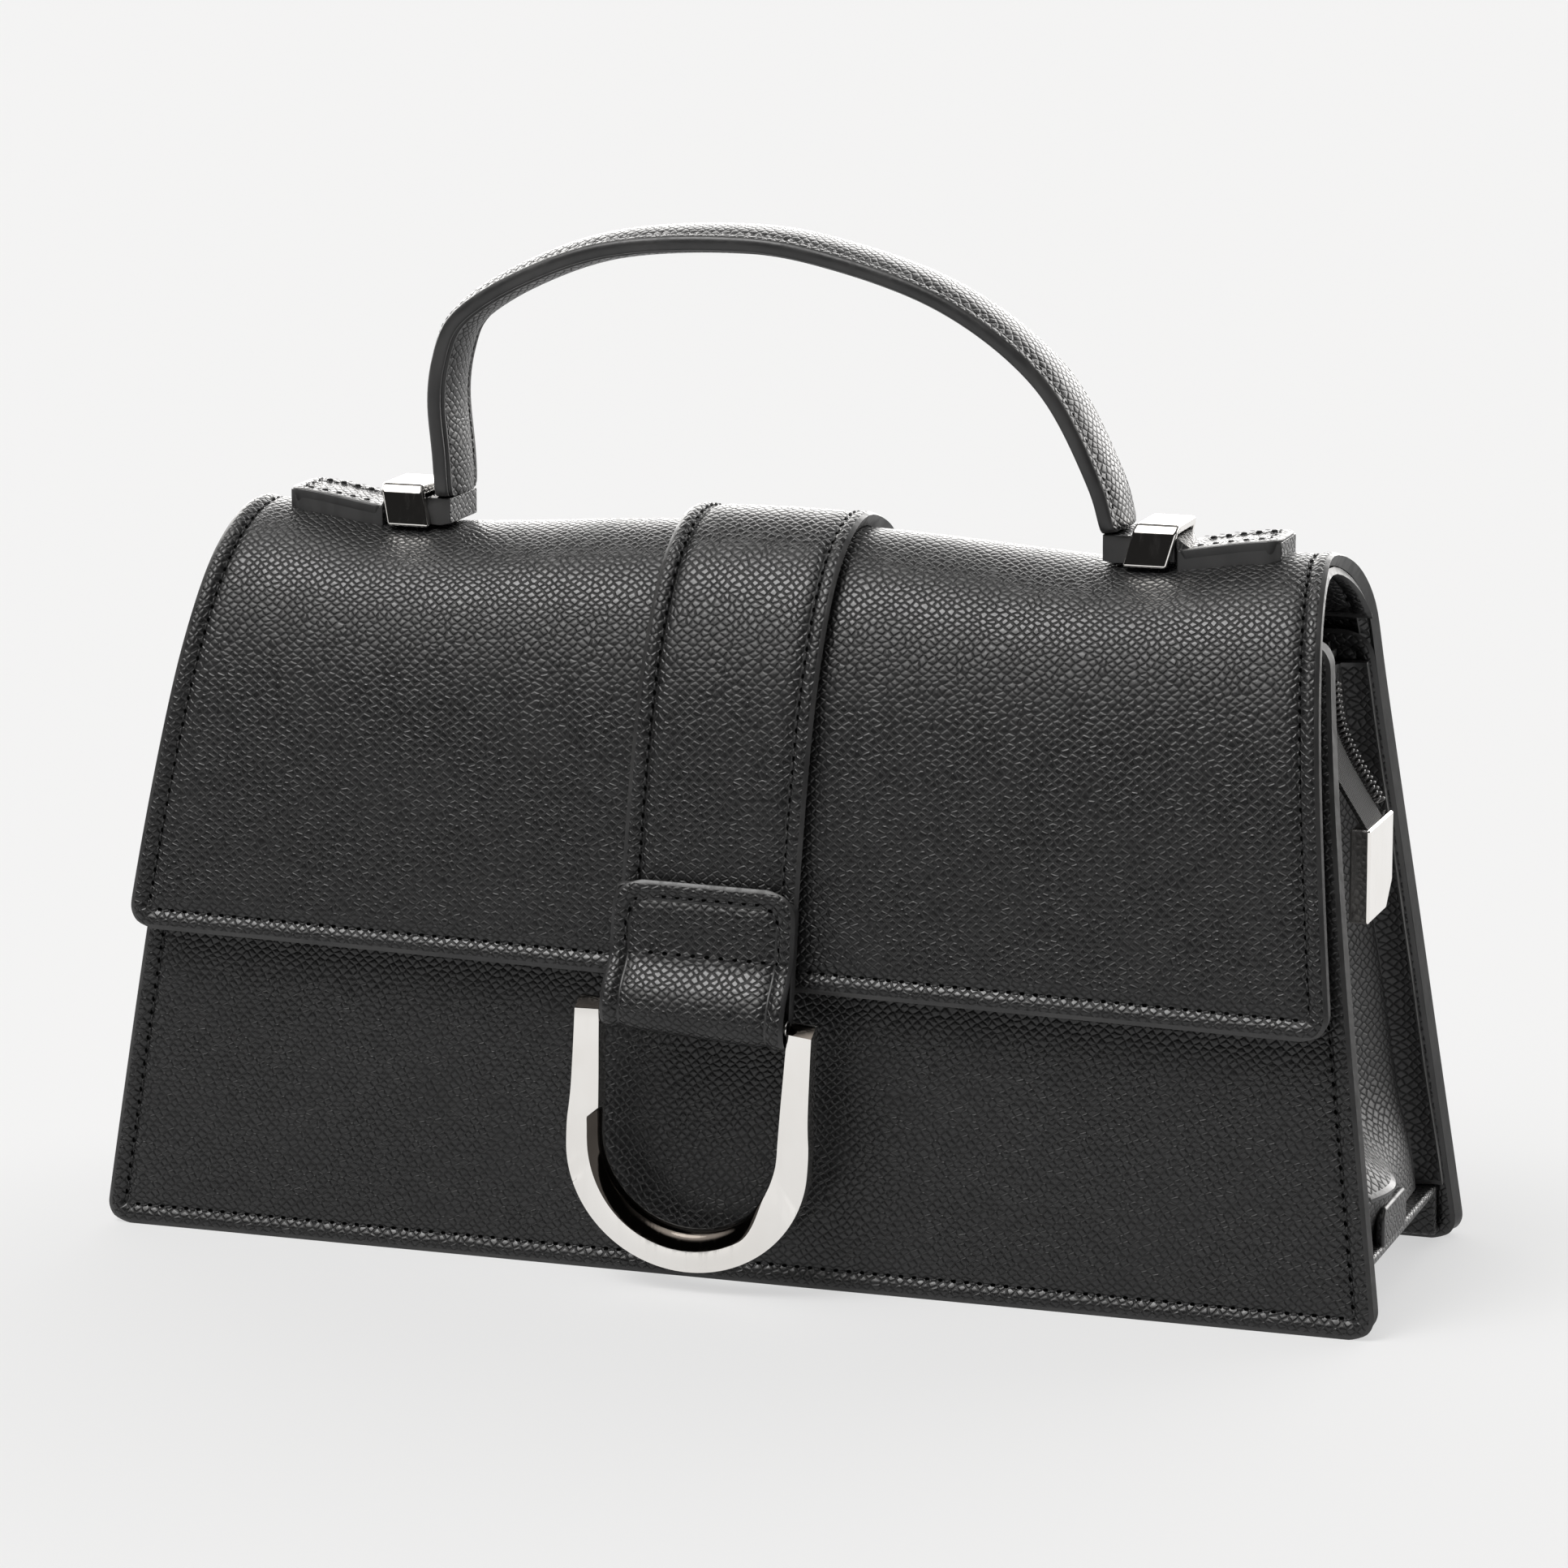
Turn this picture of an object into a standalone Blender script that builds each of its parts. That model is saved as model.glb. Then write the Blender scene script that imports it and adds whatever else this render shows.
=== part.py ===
"""Top handle flap bag: stiff leather panels, a flap with a band, a tab and a swinging
horseshoe ring, a fixed pair of metal loops that hold an arched handle, and a zipped mouth
whose tail hangs out at one end.

Lengths are metres. X runs to the right of a person who faces the front, Y runs to the back,
Z runs up and the bag stands on the bottom edges of its two panels at Z = 0.
"""

import math

import bmesh
import bpy
from mathutils import Vector

# Clearances
GAP = 0.0003
LINING_SLACK = 0.0014
PIVOT_CLEARANCE = 0.0004

# Front and back panels
PANEL_HEIGHT = 0.1320
PANEL_HALF_BASE = 0.1340
PANEL_TAPER = 0.13
PANEL_CORNER = 0.0050
PANEL_PLY = 0.0029
BOARD_PLY = 0.0026
BOARD_INSET = 0.0004
FRONT_BASE_Y = -0.0400
FRONT_LEAN = 0.09
FRONT_CURL = 0.0110
FRONT_CURL_BELOW_TOP = 0.0020
FRONT_CURL_HEIGHT = PANEL_HEIGHT - FRONT_CURL_BELOW_TOP
BACK_BASE_Y = 0.0400
BACK_LEAN = 0.13

# Flap
HINGE_BELOW_PANEL = 0.0030
HINGE_HEIGHT = PANEL_HEIGHT - HINGE_BELOW_PANEL
FLAP_PLY = 0.0023
FLAP_LINING_PLY = 0.0016
FLAP_HALF_CREST = 0.1135
FLAP_TAPER = 0.12
FLAP_CORNER = 0.0055
FLAP_LINING_INSET = 0.0004
CREST_ABOVE_HINGE = 0.0178
CREST_HEIGHT = HINGE_HEIGHT + CREST_ABOVE_HINGE
CREST_Y = -0.0030
BACK_SHOULDER = (-0.0019, 0.0060)
CROWN_BACK = (0.0150, -0.0038)
CROWN_FRONT = (-0.0140, -0.0070)
FRONT_SHOULDER_DROP = 0.0213
FRONT_CHEEK_DROP = 0.0428
FLAP_EDGE_HEIGHT = 0.0600
FLAP_STAND_OFF = 0.0074
DIP_DEPTH = 0.0036
DIP_WIDTH = 0.0170
CENTRE_RISE = 0.0006
CENTRE_RISE_WIDTH = 0.0300

# Band, tab and ring
BAND_HALF = 0.0185
BAND_PLY = 0.0026
BAND_BACK_LENGTH = 0.0200
BAND_BELOW_FLAP = 0.0065
TAB_HALF = 0.0192
TAB_TOP = 0.0270
TAB_SEAM = 0.0120
TAB_SLOPE_UP = 0.0054
TAB_SLOPE_DROP = 0.0007
TAB_PLY = 0.0014
TAB_TOP_PLY = 0.0026
BAR_DIAMETER = 0.0034
BAR_BELOW_FLAP_EDGE = 0.0060
BAR_HEIGHT = FLAP_EDGE_HEIGHT - BAR_BELOW_FLAP_EDGE
RING_INNER_HALF = 0.0196
RING_PRONG_WIDTH = 0.0052
RING_THICKNESS = 0.0040
RING_PRONG_ABOVE_BAR = 0.0020
RING_ARC_BELOW_BAR = 0.0240
RING_OUTER_HALF = 0.0252
RING_FLARE_LENGTH = 0.0040
RING_FLAT_LENGTH = 0.0045
RING_ARC_STEP = 0.0028
RING_FLOOR_CLEARANCE = 0.0044

# Handle, its ends and its loops
HANDLE_Y = 0.0
HANDLE_FOOT_X = 0.0702
HANDLE_HALF_WIDTH = 0.0090
HANDLE_DOME = 0.0030
HANDLE_EDGE = 0.0014
HANDLE_UNDERSIDE = 0.0022
HANDLE_CORE_HALF = 0.0052
HANDLE_CORE_HEIGHT = 0.0018
HANDLE_RISE = 0.0551
HANDLE_ARCH_SHARES = [(-1.0, 0.0), (-1.006, 0.17), (-1.02, 0.38), (-1.0, 0.55),
                      (-0.945, 0.69), (-0.76, 0.84), (-0.50, 0.96), (-0.17, 1.0), (0.12, 0.97),
                      (0.50, 0.82), (0.79, 0.555), (0.95, 0.21), (1.0, 0.0)]
FOOT_SHARE = 0.80
FOOT_STATION_SHARES = (0.0, 0.35, 0.9, 1.6, 2.4, 3.2)
SHOULDER_ACROSS_SHARE = 0.60
SHOULDER_RISE_SHARE = 0.85
CORE_ACROSS_SHARE = 0.75
CORE_RISE_SHARE = 0.60
HOLLOW_SHARE = 0.80
PIVOT_RADIUS = 0.0045
SPOON_LENGTH = 0.0095
NECK_THICKNESS = 0.0027
NECK_HALF = 0.0060
STRAP_END_THICKNESS = 0.0048
END_TAB_HALF = 0.0076
END_TAB_LENGTH = 0.0205
LOOP_WIDTH = 0.0090
LOOP_METAL = 0.0022
LOOP_CLEARANCE = 0.0006
LOOP_SIDE_GAP = 0.0008
LOOP_BEVEL = 0.0013

# Ends, base and lining
GUSSET_PLY = 0.0018
GUSSET_INSET = 0.0075
GUSSET_FOLD = 0.0100
GUSSET_TOP_FOLD = 0.0030
GUSSET_BULGE = 0.0025
GUSSET_FLANGE_MARGIN = 0.0012
GUSSET_BELOW_PANEL = 0.0100
GUSSET_TOP = PANEL_HEIGHT - GUSSET_BELOW_PANEL
GUSSET_FOLD_FROM = 0.0300
GUSSET_FOLD_FULL = 0.0700
GUSSET_SPREAD_LENGTH = 0.0270
GUSSET_SPREAD_BELOW_TOP = 0.0100
GUSSET_SPREAD_FULL = GUSSET_TOP - GUSSET_SPREAD_BELOW_TOP
GUSSET_SPREAD_FROM = GUSSET_SPREAD_FULL - GUSSET_SPREAD_LENGTH
BASE_HEIGHT = 0.0100
BASE_PLY = 0.0022
BASE_FLANGE_FOOT = 0.0012
BASE_SIDE_MARGIN = 0.0032
BASE_END_HEIGHT = 0.0090
BASE_END_HALF_DEPTH = 0.0130
BASE_END_PLY = 0.0018
BASE_BOARD_THICKNESS = 0.0020
BASE_BOARD_MARGIN = 0.0012
LINING_PLY = 0.0009
FACING_PLY = 0.0014
FACING_HEIGHT = 0.0120
FACING_ABOVE_ZIP = 0.0020
POCKET_HALF = 0.0520
POCKET_BELOW_LINING = 0.0137
POCKET_PLY = 0.0010
POCKET_FOOT = 0.0400

# Magnetic snap
SNAP_HEIGHT = 0.0700
SNAP_RADIUS = 0.0075
STUD_THICKNESS = 0.0008
WASHER_THICKNESS = 0.0007
WASHER_RADIUS = 0.0065

# Zip
ZIP_BELOW_PANEL = 0.0080
ZIP_HEIGHT = PANEL_HEIGHT - ZIP_BELOW_PANEL
TAPE_PLY = 0.0008
ZIP_END_LENGTH = 0.0062
CHAIN_WIDTH = 0.0016
CHAIN_HEIGHT = 0.0016
CHAIN_SPLIT = 0.0012
SLIDER_LENGTH = 0.0090
SLIDER_WIDTH = 0.0080
SLIDER_PLATE = 0.0009
SLIDER_POST = 0.0006
SLIDER_CHANNEL_CLEARANCE = 0.0005
SLIDER_PARK = 0.0110
SLIDER_END_CLEARANCE = 0.0005
BAIL_HEIGHT = 0.0028
BAIL_WIDTH = 0.0016
PULL_LENGTH = 0.0185
PULL_HALF = 0.0022
PULL_THICKNESS = 0.0012
TAIL_PAST_GUSSET = 0.0008
TAIL_LENGTH = 0.0290
TAIL_SHIFT = -0.0010
TAIL_LEAN = 0.0105
TAIL_BEND_SHARES = [(0.0, 0.0), (0.40, 0.12), (0.66, 0.42), (1.0, 1.0)]
TAIL_TAPE_WIDTH = 0.0130
TAIL_CHAIN_WIDTH = 0.0045
CAP_HEIGHT = 0.0190
CAP_THICKNESS = 0.0042
CAP_HALF = 0.0100
CAP_CHAMFER = 0.0050
CAP_METAL = 0.0009

# Number of straight pieces in each curve
PANEL_STEPS = 12
PROFILE_STEPS = 20
SPLINE_STEPS = 12
HANDLE_STEPS = 28
GUSSET_STEPS = 12
ROUND_STEPS = 20
BAR_STEPS = 16
RING_STEPS = 14
TAB_STEPS = 10
TAIL_STEPS = 4
CORNER_ANGLES = (90.0, 60.0, 30.0, 0.0)


# Plain helpers

def smooth_step(value, low, high):
    """0 below low, 1 above high and an even S between them."""
    share = min(max((value - low) / (high - low), 0.0), 1.0)
    return share * share * (3.0 - 2.0 * share)


def spline(points, steps):
    """Smooth line through two-number points, ends included."""
    ends = [tuple(2 * a - b for a, b in zip(points[0], points[1]))]
    ends += list(points)
    ends.append(tuple(2 * a - b for a, b in zip(points[-1], points[-2])))
    line = []
    for i in range(1, len(ends) - 2):
        before, start, finish, after = ends[i - 1:i + 3]
        for step in range(steps):
            t = step / steps
            line.append(tuple(
                0.5 * (2 * s + (f - b) * t + (2 * b - 5 * s + 4 * f - a) * t * t
                       + (3 * s - b - 3 * f + a) * t ** 3)
                for b, s, f, a in zip(before, start, finish, after)))
    line.append(tuple(points[-1]))
    return line


def distances(line):
    """Length along a line at each of its points."""
    total = [0.0]
    for a, b in zip(line, line[1:]):
        total.append(total[-1] + math.dist(a, b))
    return total


def point_at(line, lengths, where):
    """Point at a length along a line, run on straight past either end."""
    i = 1
    while i < len(line) - 1 and lengths[i] < where:
        i += 1
    share = (where - lengths[i - 1]) / (lengths[i] - lengths[i - 1])
    return tuple(a + (b - a) * share for a, b in zip(line[i - 1], line[i]))


def offset_line(line, amount, closed=False):
    """The line moved to its right by an amount, with mitred corners."""
    moved = []
    count = len(line)
    for i, point in enumerate(line):
        normals = []
        for a, b in ((i - 1, i), (i, i + 1)):
            if closed or (a >= 0 and b < count):
                start, finish = line[a % count], line[b % count]
                step = math.dist(start, finish)
                normals.append(((finish[1] - start[1]) / step, (start[0] - finish[0]) / step))
        nx = sum(n[0] for n in normals) / len(normals)
        ny = sum(n[1] for n in normals) / len(normals)
        scale = amount / (nx * nx + ny * ny)
        moved.append((point[0] + nx * scale, point[1] + ny * scale))
    return moved


# Solids

def material(name, colour, roughness, metallic=0.0):
    """A plain finish with its own colour, roughness and metal share."""
    made = bpy.data.materials.new(name)
    made.use_nodes = True
    shader = made.node_tree.nodes["Principled BSDF"]
    shader.inputs["Base Color"].default_value = (*colour, 1.0)
    shader.inputs["Roughness"].default_value = roughness
    shader.inputs["Metallic"].default_value = metallic
    made.diffuse_color = (*colour, 1.0)
    return made


def make_object(name, vertices, faces, finish, pivot, smooth=False):
    """A closed mesh object whose origin is at its pivot and which hangs on that pivot's empty."""
    mesh = bpy.data.meshes.new(name)
    start = Vector(pivot["place"])
    mesh.from_pydata([Vector(v) - start for v in vertices], [], faces)
    work = bmesh.new()
    work.from_mesh(mesh)
    bmesh.ops.recalc_face_normals(work, faces=work.faces)
    work.to_mesh(mesh)
    work.free()
    mesh.materials.append(finish)
    if smooth:
        mesh.shade_smooth()
        mesh.set_sharp_from_angle(angle=math.radians(35))
    made = bpy.data.objects.new(name, mesh)
    bpy.context.scene.collection.objects.link(made)
    made.parent = pivot["empty"]
    return made


def grid_faces(rows, columns, start, split):
    """Faces of a grid of points, as quads or as triangles that all lean the same way."""
    faces = []
    for i in range(rows - 1):
        for j in range(columns - 1):
            a = start + i * columns + j
            b = a + 1
            c = a + columns + 1
            d = a + columns
            faces += [(a, b, c), (a, c, d)] if split else [(a, b, c, d)]
    return faces


def slab(name, near, far, finish, pivot, split=False, smooth=False):
    """Closed sheet between two grids of points with the same rows and columns."""
    rows, columns = len(near), len(near[0])
    count = rows * columns
    vertices = [p for row in near for p in row] + [p for row in far for p in row]
    faces = grid_faces(rows, columns, 0, split)
    faces += [tuple(reversed(f)) for f in grid_faces(rows, columns, count, split)]
    rim = [j for j in range(columns)]
    rim += [i * columns + columns - 1 for i in range(1, rows)]
    rim += [(rows - 1) * columns + j for j in range(columns - 2, -1, -1)]
    rim += [i * columns for i in range(rows - 2, 0, -1)]
    for a, b in zip(rim, rim[1:] + rim[:1]):
        if split:
            faces += [(b, a, a + count), (b, a + count, b + count)]
        else:
            faces.append((b, a, a + count, b + count))
    return make_object(name, vertices, faces, finish, pivot, smooth)


def sweep(name, loops, finish, pivot, split=False, smooth=False):
    """Closed body through loops of points, capped at its two ends."""
    size = len(loops[0])
    vertices = [p for loop in loops for p in loop]
    faces = [tuple(range(size)), tuple(range(len(vertices) - 1, len(vertices) - size - 1, -1))]
    for i in range(len(loops) - 1):
        for j in range(size):
            a = i * size + j
            b = i * size + (j + 1) % size
            c, d = b + size, a + size
            faces += [(b, a, d), (b, d, c)] if split else [(b, a, d, c)]
    return make_object(name, vertices, faces, finish, pivot, smooth)


def cup(name, outer, inner, finish, pivot):
    """Open-topped shell from two stacks of loops, lowest loop first, alike on both sides."""
    size = len(outer[0])
    vertices = [p for loop in outer + inner for p in loop]
    start = len(outer) * size
    faces = [tuple(range(size)), tuple(range(start + size - 1, start - 1, -1))]
    for base, levels in ((0, len(outer)), (start, len(inner))):
        for i in range(levels - 1):
            for j in range(size):
                a = base + i * size + j
                b = base + i * size + (j + 1) % size
                c, d = b + size, a + size
                rearward = vertices[b][1] >= vertices[a][1]
                faces += [(a, b, c), (a, c, d)] if rearward else [(a, b, d), (b, c, d)]
    top, inner_top = (len(outer) - 1) * size, start + (len(inner) - 1) * size
    for j in range(size):
        k = (j + 1) % size
        faces.append((top + j, top + k, inner_top + k, inner_top + j))
    return make_object(name, vertices, faces, finish, pivot)


def along_x(name, outline, x_low, x_high, finish, pivot, smooth=False):
    """Outline in Y and Z drawn out along X."""
    loops = [[(x, y, z) for y, z in outline] for x in (x_low, x_high)]
    return sweep(name, loops, finish, pivot, smooth=smooth)


def box(name, low, high, finish, pivot):
    """Plain block between two corners."""
    outline = [(low[1], low[2]), (high[1], low[2]), (high[1], high[2]), (low[1], high[2])]
    return along_x(name, outline, low[0], high[0], finish, pivot)


def disc_along(name, centre, direction, radius, thickness, finish, pivot):
    """Round plate that starts at a centre in the YZ plane and runs along a direction there."""
    across = (-direction[1], direction[0])
    loops = []
    for depth in (0.0, thickness):
        loop = []
        for i in range(ROUND_STEPS):
            angle = math.tau * i / ROUND_STEPS
            rise = radius * math.sin(angle)
            loop.append((radius * math.cos(angle),
                         centre[0] + direction[0] * depth + across[0] * rise,
                         centre[1] + direction[1] * depth + across[1] * rise))
        loops.append(loop)
    return sweep(name, loops, finish, pivot, smooth=True)


# Lines that the pieces share

def panel_half(z):
    """Half width of the front and back panels at a height."""
    return PANEL_HALF_BASE - PANEL_TAPER * z


def front_y(z):
    """Outer face of the front panel at a height; it leans back and curls in at the top."""
    return FRONT_BASE_Y + FRONT_LEAN * z + FRONT_CURL * (z / FRONT_CURL_HEIGHT) ** 4


def back_y(z):
    """Outer face of the back panel at a height."""
    return BACK_BASE_Y - BACK_LEAN * z


def front_inner_y(z):
    """Free line just inside the front board."""
    return front_y(z) + PANEL_PLY + GAP + BOARD_PLY + GAP


def back_inner_y(z):
    """Free line just inside the back board."""
    return back_y(z) - PANEL_PLY - GAP - BOARD_PLY - GAP


def middle_y(z):
    """Halfway between the two boards at a height."""
    return (front_inner_y(z) + back_inner_y(z)) / 2


def gusset_corner(z):
    """Half width where a gusset turns in from its flanges."""
    return panel_half(z) - GUSSET_INSET


def over_front(z):
    """Point of the flap's outer face where it hangs over the front panel at a height."""
    return (front_y(z) - FLAP_STAND_OFF, z)


HINGE_POINT = (back_y(HINGE_HEIGHT), HINGE_HEIGHT)
FLAP_CONTROL = [
    HINGE_POINT,
    (HINGE_POINT[0] + BACK_SHOULDER[0], HINGE_POINT[1] + BACK_SHOULDER[1]),
    (CREST_Y + CROWN_BACK[0], CREST_HEIGHT + CROWN_BACK[1]),
    (CREST_Y, CREST_HEIGHT),
    (CREST_Y + CROWN_FRONT[0], CREST_HEIGHT + CROWN_FRONT[1]),
    over_front(CREST_HEIGHT - FRONT_SHOULDER_DROP),
    over_front(CREST_HEIGHT - FRONT_CHEEK_DROP),
    over_front(FLAP_EDGE_HEIGHT),
]
FLAP_CURVE = spline(FLAP_CONTROL, SPLINE_STEPS)
FLAP_CURVE_LENGTHS = distances(FLAP_CURVE)
FLAP_LENGTH = FLAP_CURVE_LENGTHS[-1]
CREST_INDEX = max(range(len(FLAP_CURVE)), key=lambda i: FLAP_CURVE[i][1])
CREST_AT = FLAP_CURVE_LENGTHS[CREST_INDEX]
LOOP_CENTRE_X = HANDLE_FOOT_X + HANDLE_DOME + LOOP_SIDE_GAP + LOOP_WIDTH / 2
END_TAB_START = LOOP_CENTRE_X + LOOP_WIDTH / 2 + LOOP_SIDE_GAP
END_TAB_TIP = END_TAB_START + END_TAB_LENGTH


def flap_stations():
    """Lengths along the flap from its hinge to its front edge, close together at the corner."""
    flat = FLAP_LENGTH - FLAP_CORNER
    stations = [flat * i / PROFILE_STEPS for i in range(PROFILE_STEPS)]
    nearest = min(range(PROFILE_STEPS), key=lambda i: abs(stations[i] - CREST_AT))
    stations[nearest] = CREST_AT
    for angle in CORNER_ANGLES:
        stations.append(FLAP_LENGTH - FLAP_CORNER * (1 - math.cos(math.radians(angle))))
    return stations


FLAP_STATIONS = flap_stations()
FLAP_LINE = [point_at(FLAP_CURVE, FLAP_CURVE_LENGTHS, s) for s in FLAP_STATIONS]
CREST_ROW = FLAP_STATIONS.index(CREST_AT)


def flap_half(station):
    """Half width of the flap at a length from its hinge."""
    return FLAP_HALF_CREST + FLAP_TAPER * abs(station - CREST_AT)


def crest_drop(x, station):
    """How far the flap sinks under the handle's feet; it stands up a little at its middle."""
    share = min(abs(station - CREST_AT) / CREST_AT, 1.0)
    fade = math.cos(share * math.pi / 2) ** 2
    dip = DIP_DEPTH * math.exp(-((abs(x) - LOOP_CENTRE_X) / DIP_WIDTH) ** 2)
    rise = CENTRE_RISE * math.exp(-(x / CENTRE_RISE_WIDTH) ** 2)
    return (dip - rise) * fade


def flap_columns():
    """Places across the flap that its crest's shape needs."""
    foot = LOOP_CENTRE_X
    right = [BAND_HALF, 2 * BAND_HALF, foot - 2 * DIP_WIDTH, foot - DIP_WIDTH,
             foot - DIP_WIDTH / 2, foot, foot + DIP_WIDTH / 2, foot + DIP_WIDTH,
             END_TAB_TIP + 2 * GAP]
    right = sorted(right)
    return [-x for x in reversed(right)] + [0.0] + right


FLAP_COLUMNS = flap_columns()


def flap_grid(offset, inset=0.0):
    """Points of the flap a depth under its outer face; a negative depth lies over it."""
    line = offset_line(FLAP_LINE, -offset)
    line[0] = (FLAP_LINE[0][0] - offset, FLAP_LINE[0][1])
    rows = []
    for i, (station, (y, z)) in enumerate(zip(FLAP_STATIONS, line)):
        to_edge = FLAP_LENGTH - station
        rounding = 0.0
        if to_edge < FLAP_CORNER:
            rounding = FLAP_CORNER - math.sqrt(FLAP_CORNER ** 2 - (FLAP_CORNER - to_edge) ** 2)
        half = flap_half(station) - rounding - inset
        if i == len(line) - 1 and inset:
            share = inset / math.dist(line[i], line[i - 1])
            y += (line[i - 1][0] - y) * share
            z += (line[i - 1][1] - z) * share
        rows.append([(x, y, z - crest_drop(x, station)) for x in [-half] + FLAP_COLUMNS + [half]])
    return rows


def strip_line(first_row, last_row, depth, extra_end=0.0):
    """Part of the flap's section a depth under its outer face, run on past its front edge."""
    line = offset_line(FLAP_LINE, -depth)[first_row:last_row + 1]
    if extra_end:
        (y0, z0), (y1, z1) = line[-2:]
        step = math.dist(line[-2], line[-1])
        line.append((y1 + (y1 - y0) / step * extra_end, z1 + (z1 - z0) / step * extra_end))
    return line


def crest_z(x):
    """Height of the flap's outer face on its crest, straight between the flap's columns."""
    xs = FLAP_COLUMNS
    i = 1
    while i < len(xs) - 1 and xs[i] < x:
        i += 1
    low, high = (CREST_HEIGHT - crest_drop(a, CREST_AT) for a in (xs[i - 1], xs[i]))
    return low + (high - low) * (x - xs[i - 1]) / (xs[i] - xs[i - 1])


def front_frame():
    """Foot, upward direction and outward direction of the flap's straight front run."""
    top = FLAP_LINE[-5]
    low = FLAP_LINE[-1]
    step = math.dist(top, low)
    up = ((top[0] - low[0]) / step, (top[1] - low[1]) / step)
    out = (-up[1], up[0])
    run = (BAR_HEIGHT - low[1]) / up[1]
    return (low[0] + up[0] * run, BAR_HEIGHT), up, out


FRONT_FOOT, FRONT_UP, FRONT_OUT = front_frame()
TAB_BACK = GAP + BAND_PLY + GAP
BAR_RADIUS = BAR_DIAMETER / 2
BAR_OUT = TAB_BACK + TAB_PLY + PIVOT_CLEARANCE + BAR_RADIUS
BAR_POINT = (FRONT_FOOT[0] + FRONT_OUT[0] * BAR_OUT, FRONT_FOOT[1] + FRONT_OUT[1] * BAR_OUT)
TAB_ROUND = BAR_RADIUS + PIVOT_CLEARANCE + TAB_PLY

BASE_HALF = panel_half(BASE_HEIGHT) - BASE_SIDE_MARGIN
TAIL_ROOT_X = gusset_corner(ZIP_HEIGHT) + TAIL_PAST_GUSSET
ZIP_END_OUTER = TAIL_ROOT_X - TAPE_PLY / 2 - GAP
ZIP_END_INNER = ZIP_END_OUTER - ZIP_END_LENGTH
TAPE_HALF = ZIP_END_INNER - GAP
ZIP_Y = middle_y(ZIP_HEIGHT)
FRONT_FACING_FACE = front_inner_y(ZIP_HEIGHT + FACING_ABOVE_ZIP) + FACING_PLY
BACK_FACING_FACE = back_inner_y(ZIP_HEIGHT + FACING_ABOVE_ZIP) - FACING_PLY
FRONT_LEAF_Y = FRONT_FACING_FACE + GAP + TAPE_PLY / 2
BACK_LEAF_Y = BACK_FACING_FACE - GAP - TAPE_PLY / 2
SLIDER_X = -(TAPE_HALF - SLIDER_PARK / 2)
SLIDER_OPEN_X = TAIL_ROOT_X - TAPE_PLY - PULL_LENGTH
CHAIN_START = SLIDER_X + SLIDER_LENGTH / 2 + SLIDER_END_CLEARANCE
CHAIN_END = SLIDER_OPEN_X - SLIDER_LENGTH / 2 - SLIDER_END_CLEARANCE
SLIDER_TOP = CHAIN_HEIGHT / 2 + SLIDER_CHANNEL_CLEARANCE + SLIDER_PLATE
PULL_Z = ZIP_HEIGHT + SLIDER_TOP + GAP + PULL_THICKNESS / 2
PIVOT_HEIGHT = crest_z(HANDLE_FOOT_X) + GAP + NECK_THICKNESS + GAP + PIVOT_RADIUS

# The whole bag is moved so that the middle of its depth lies on the origin
DEPTH_SHIFT = -(BAR_POINT[0] - TAB_ROUND + BACK_BASE_Y) / 2


def clear_scene():
    """Empty the scene."""
    for old in list(bpy.data.objects):
        bpy.data.objects.remove(old, do_unlink=True)


def make_pivot(name, place, parent=None):
    """An empty on a joint's axis, in the bag's own frame."""
    empty = bpy.data.objects.new(name, None)
    bpy.context.scene.collection.objects.link(empty)
    if parent:
        empty.parent = parent["empty"]
        empty.location = Vector(place) - Vector(parent["place"])
    else:
        empty.location = Vector(place) + Vector((0, DEPTH_SHIFT, 0))
    return {"empty": empty, "place": place}


# Panels and boards

def panel_rows(height, inset):
    """Heights and side insets of a panel's rows, with round corners."""
    rows = []
    for angle in reversed(CORNER_ANGLES):
        turn = math.radians(angle)
        rows.append((inset + PANEL_CORNER * (1 - math.cos(turn)),
                     PANEL_CORNER * (1 - math.sin(turn))))
    low, high = PANEL_CORNER + inset, height - PANEL_CORNER - inset
    rows += [(low + (high - low) * i / PANEL_STEPS, 0.0) for i in range(1, PANEL_STEPS)]
    for angle in CORNER_ANGLES:
        turn = math.radians(angle)
        rows.append((height - inset - PANEL_CORNER * (1 - math.cos(turn)),
                     PANEL_CORNER * (1 - math.sin(turn))))
    return rows


def make_panel(name, face, depths, inset, height, finish, bag, square_top=False):
    """Leather or board panel between two depths behind a face line."""
    near, far = [], []
    for z, rounding in panel_rows(height, inset):
        if square_top and z > height / 2:
            rounding = 0.0
        half = panel_half(z) - rounding - inset
        near.append([(x, face(z) + depths[0], z) for x in (-half, half)])
        far.append([(x, face(z) + depths[1], z) for x in (-half, half)])
    return slab(name, near, far, finish, bag)


def make_panels(bag, leather, board):
    """Outer plies and stiff inner plies of the front and the back."""
    inner = (PANEL_PLY + GAP, PANEL_PLY + GAP + BOARD_PLY)
    make_panel("front_panel", front_y, (0.0, PANEL_PLY), 0.0, PANEL_HEIGHT, leather, bag)
    make_panel("front_board", front_y, inner, BOARD_INSET, PANEL_HEIGHT, board, bag)
    back_height = HINGE_HEIGHT - GAP
    make_panel("back_panel", back_y, (-PANEL_PLY, 0.0), 0.0, back_height, leather, bag, True)
    make_panel("back_board", back_y, (-inner[1], -inner[0]), BOARD_INSET, back_height,
               board, bag, True)


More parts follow.
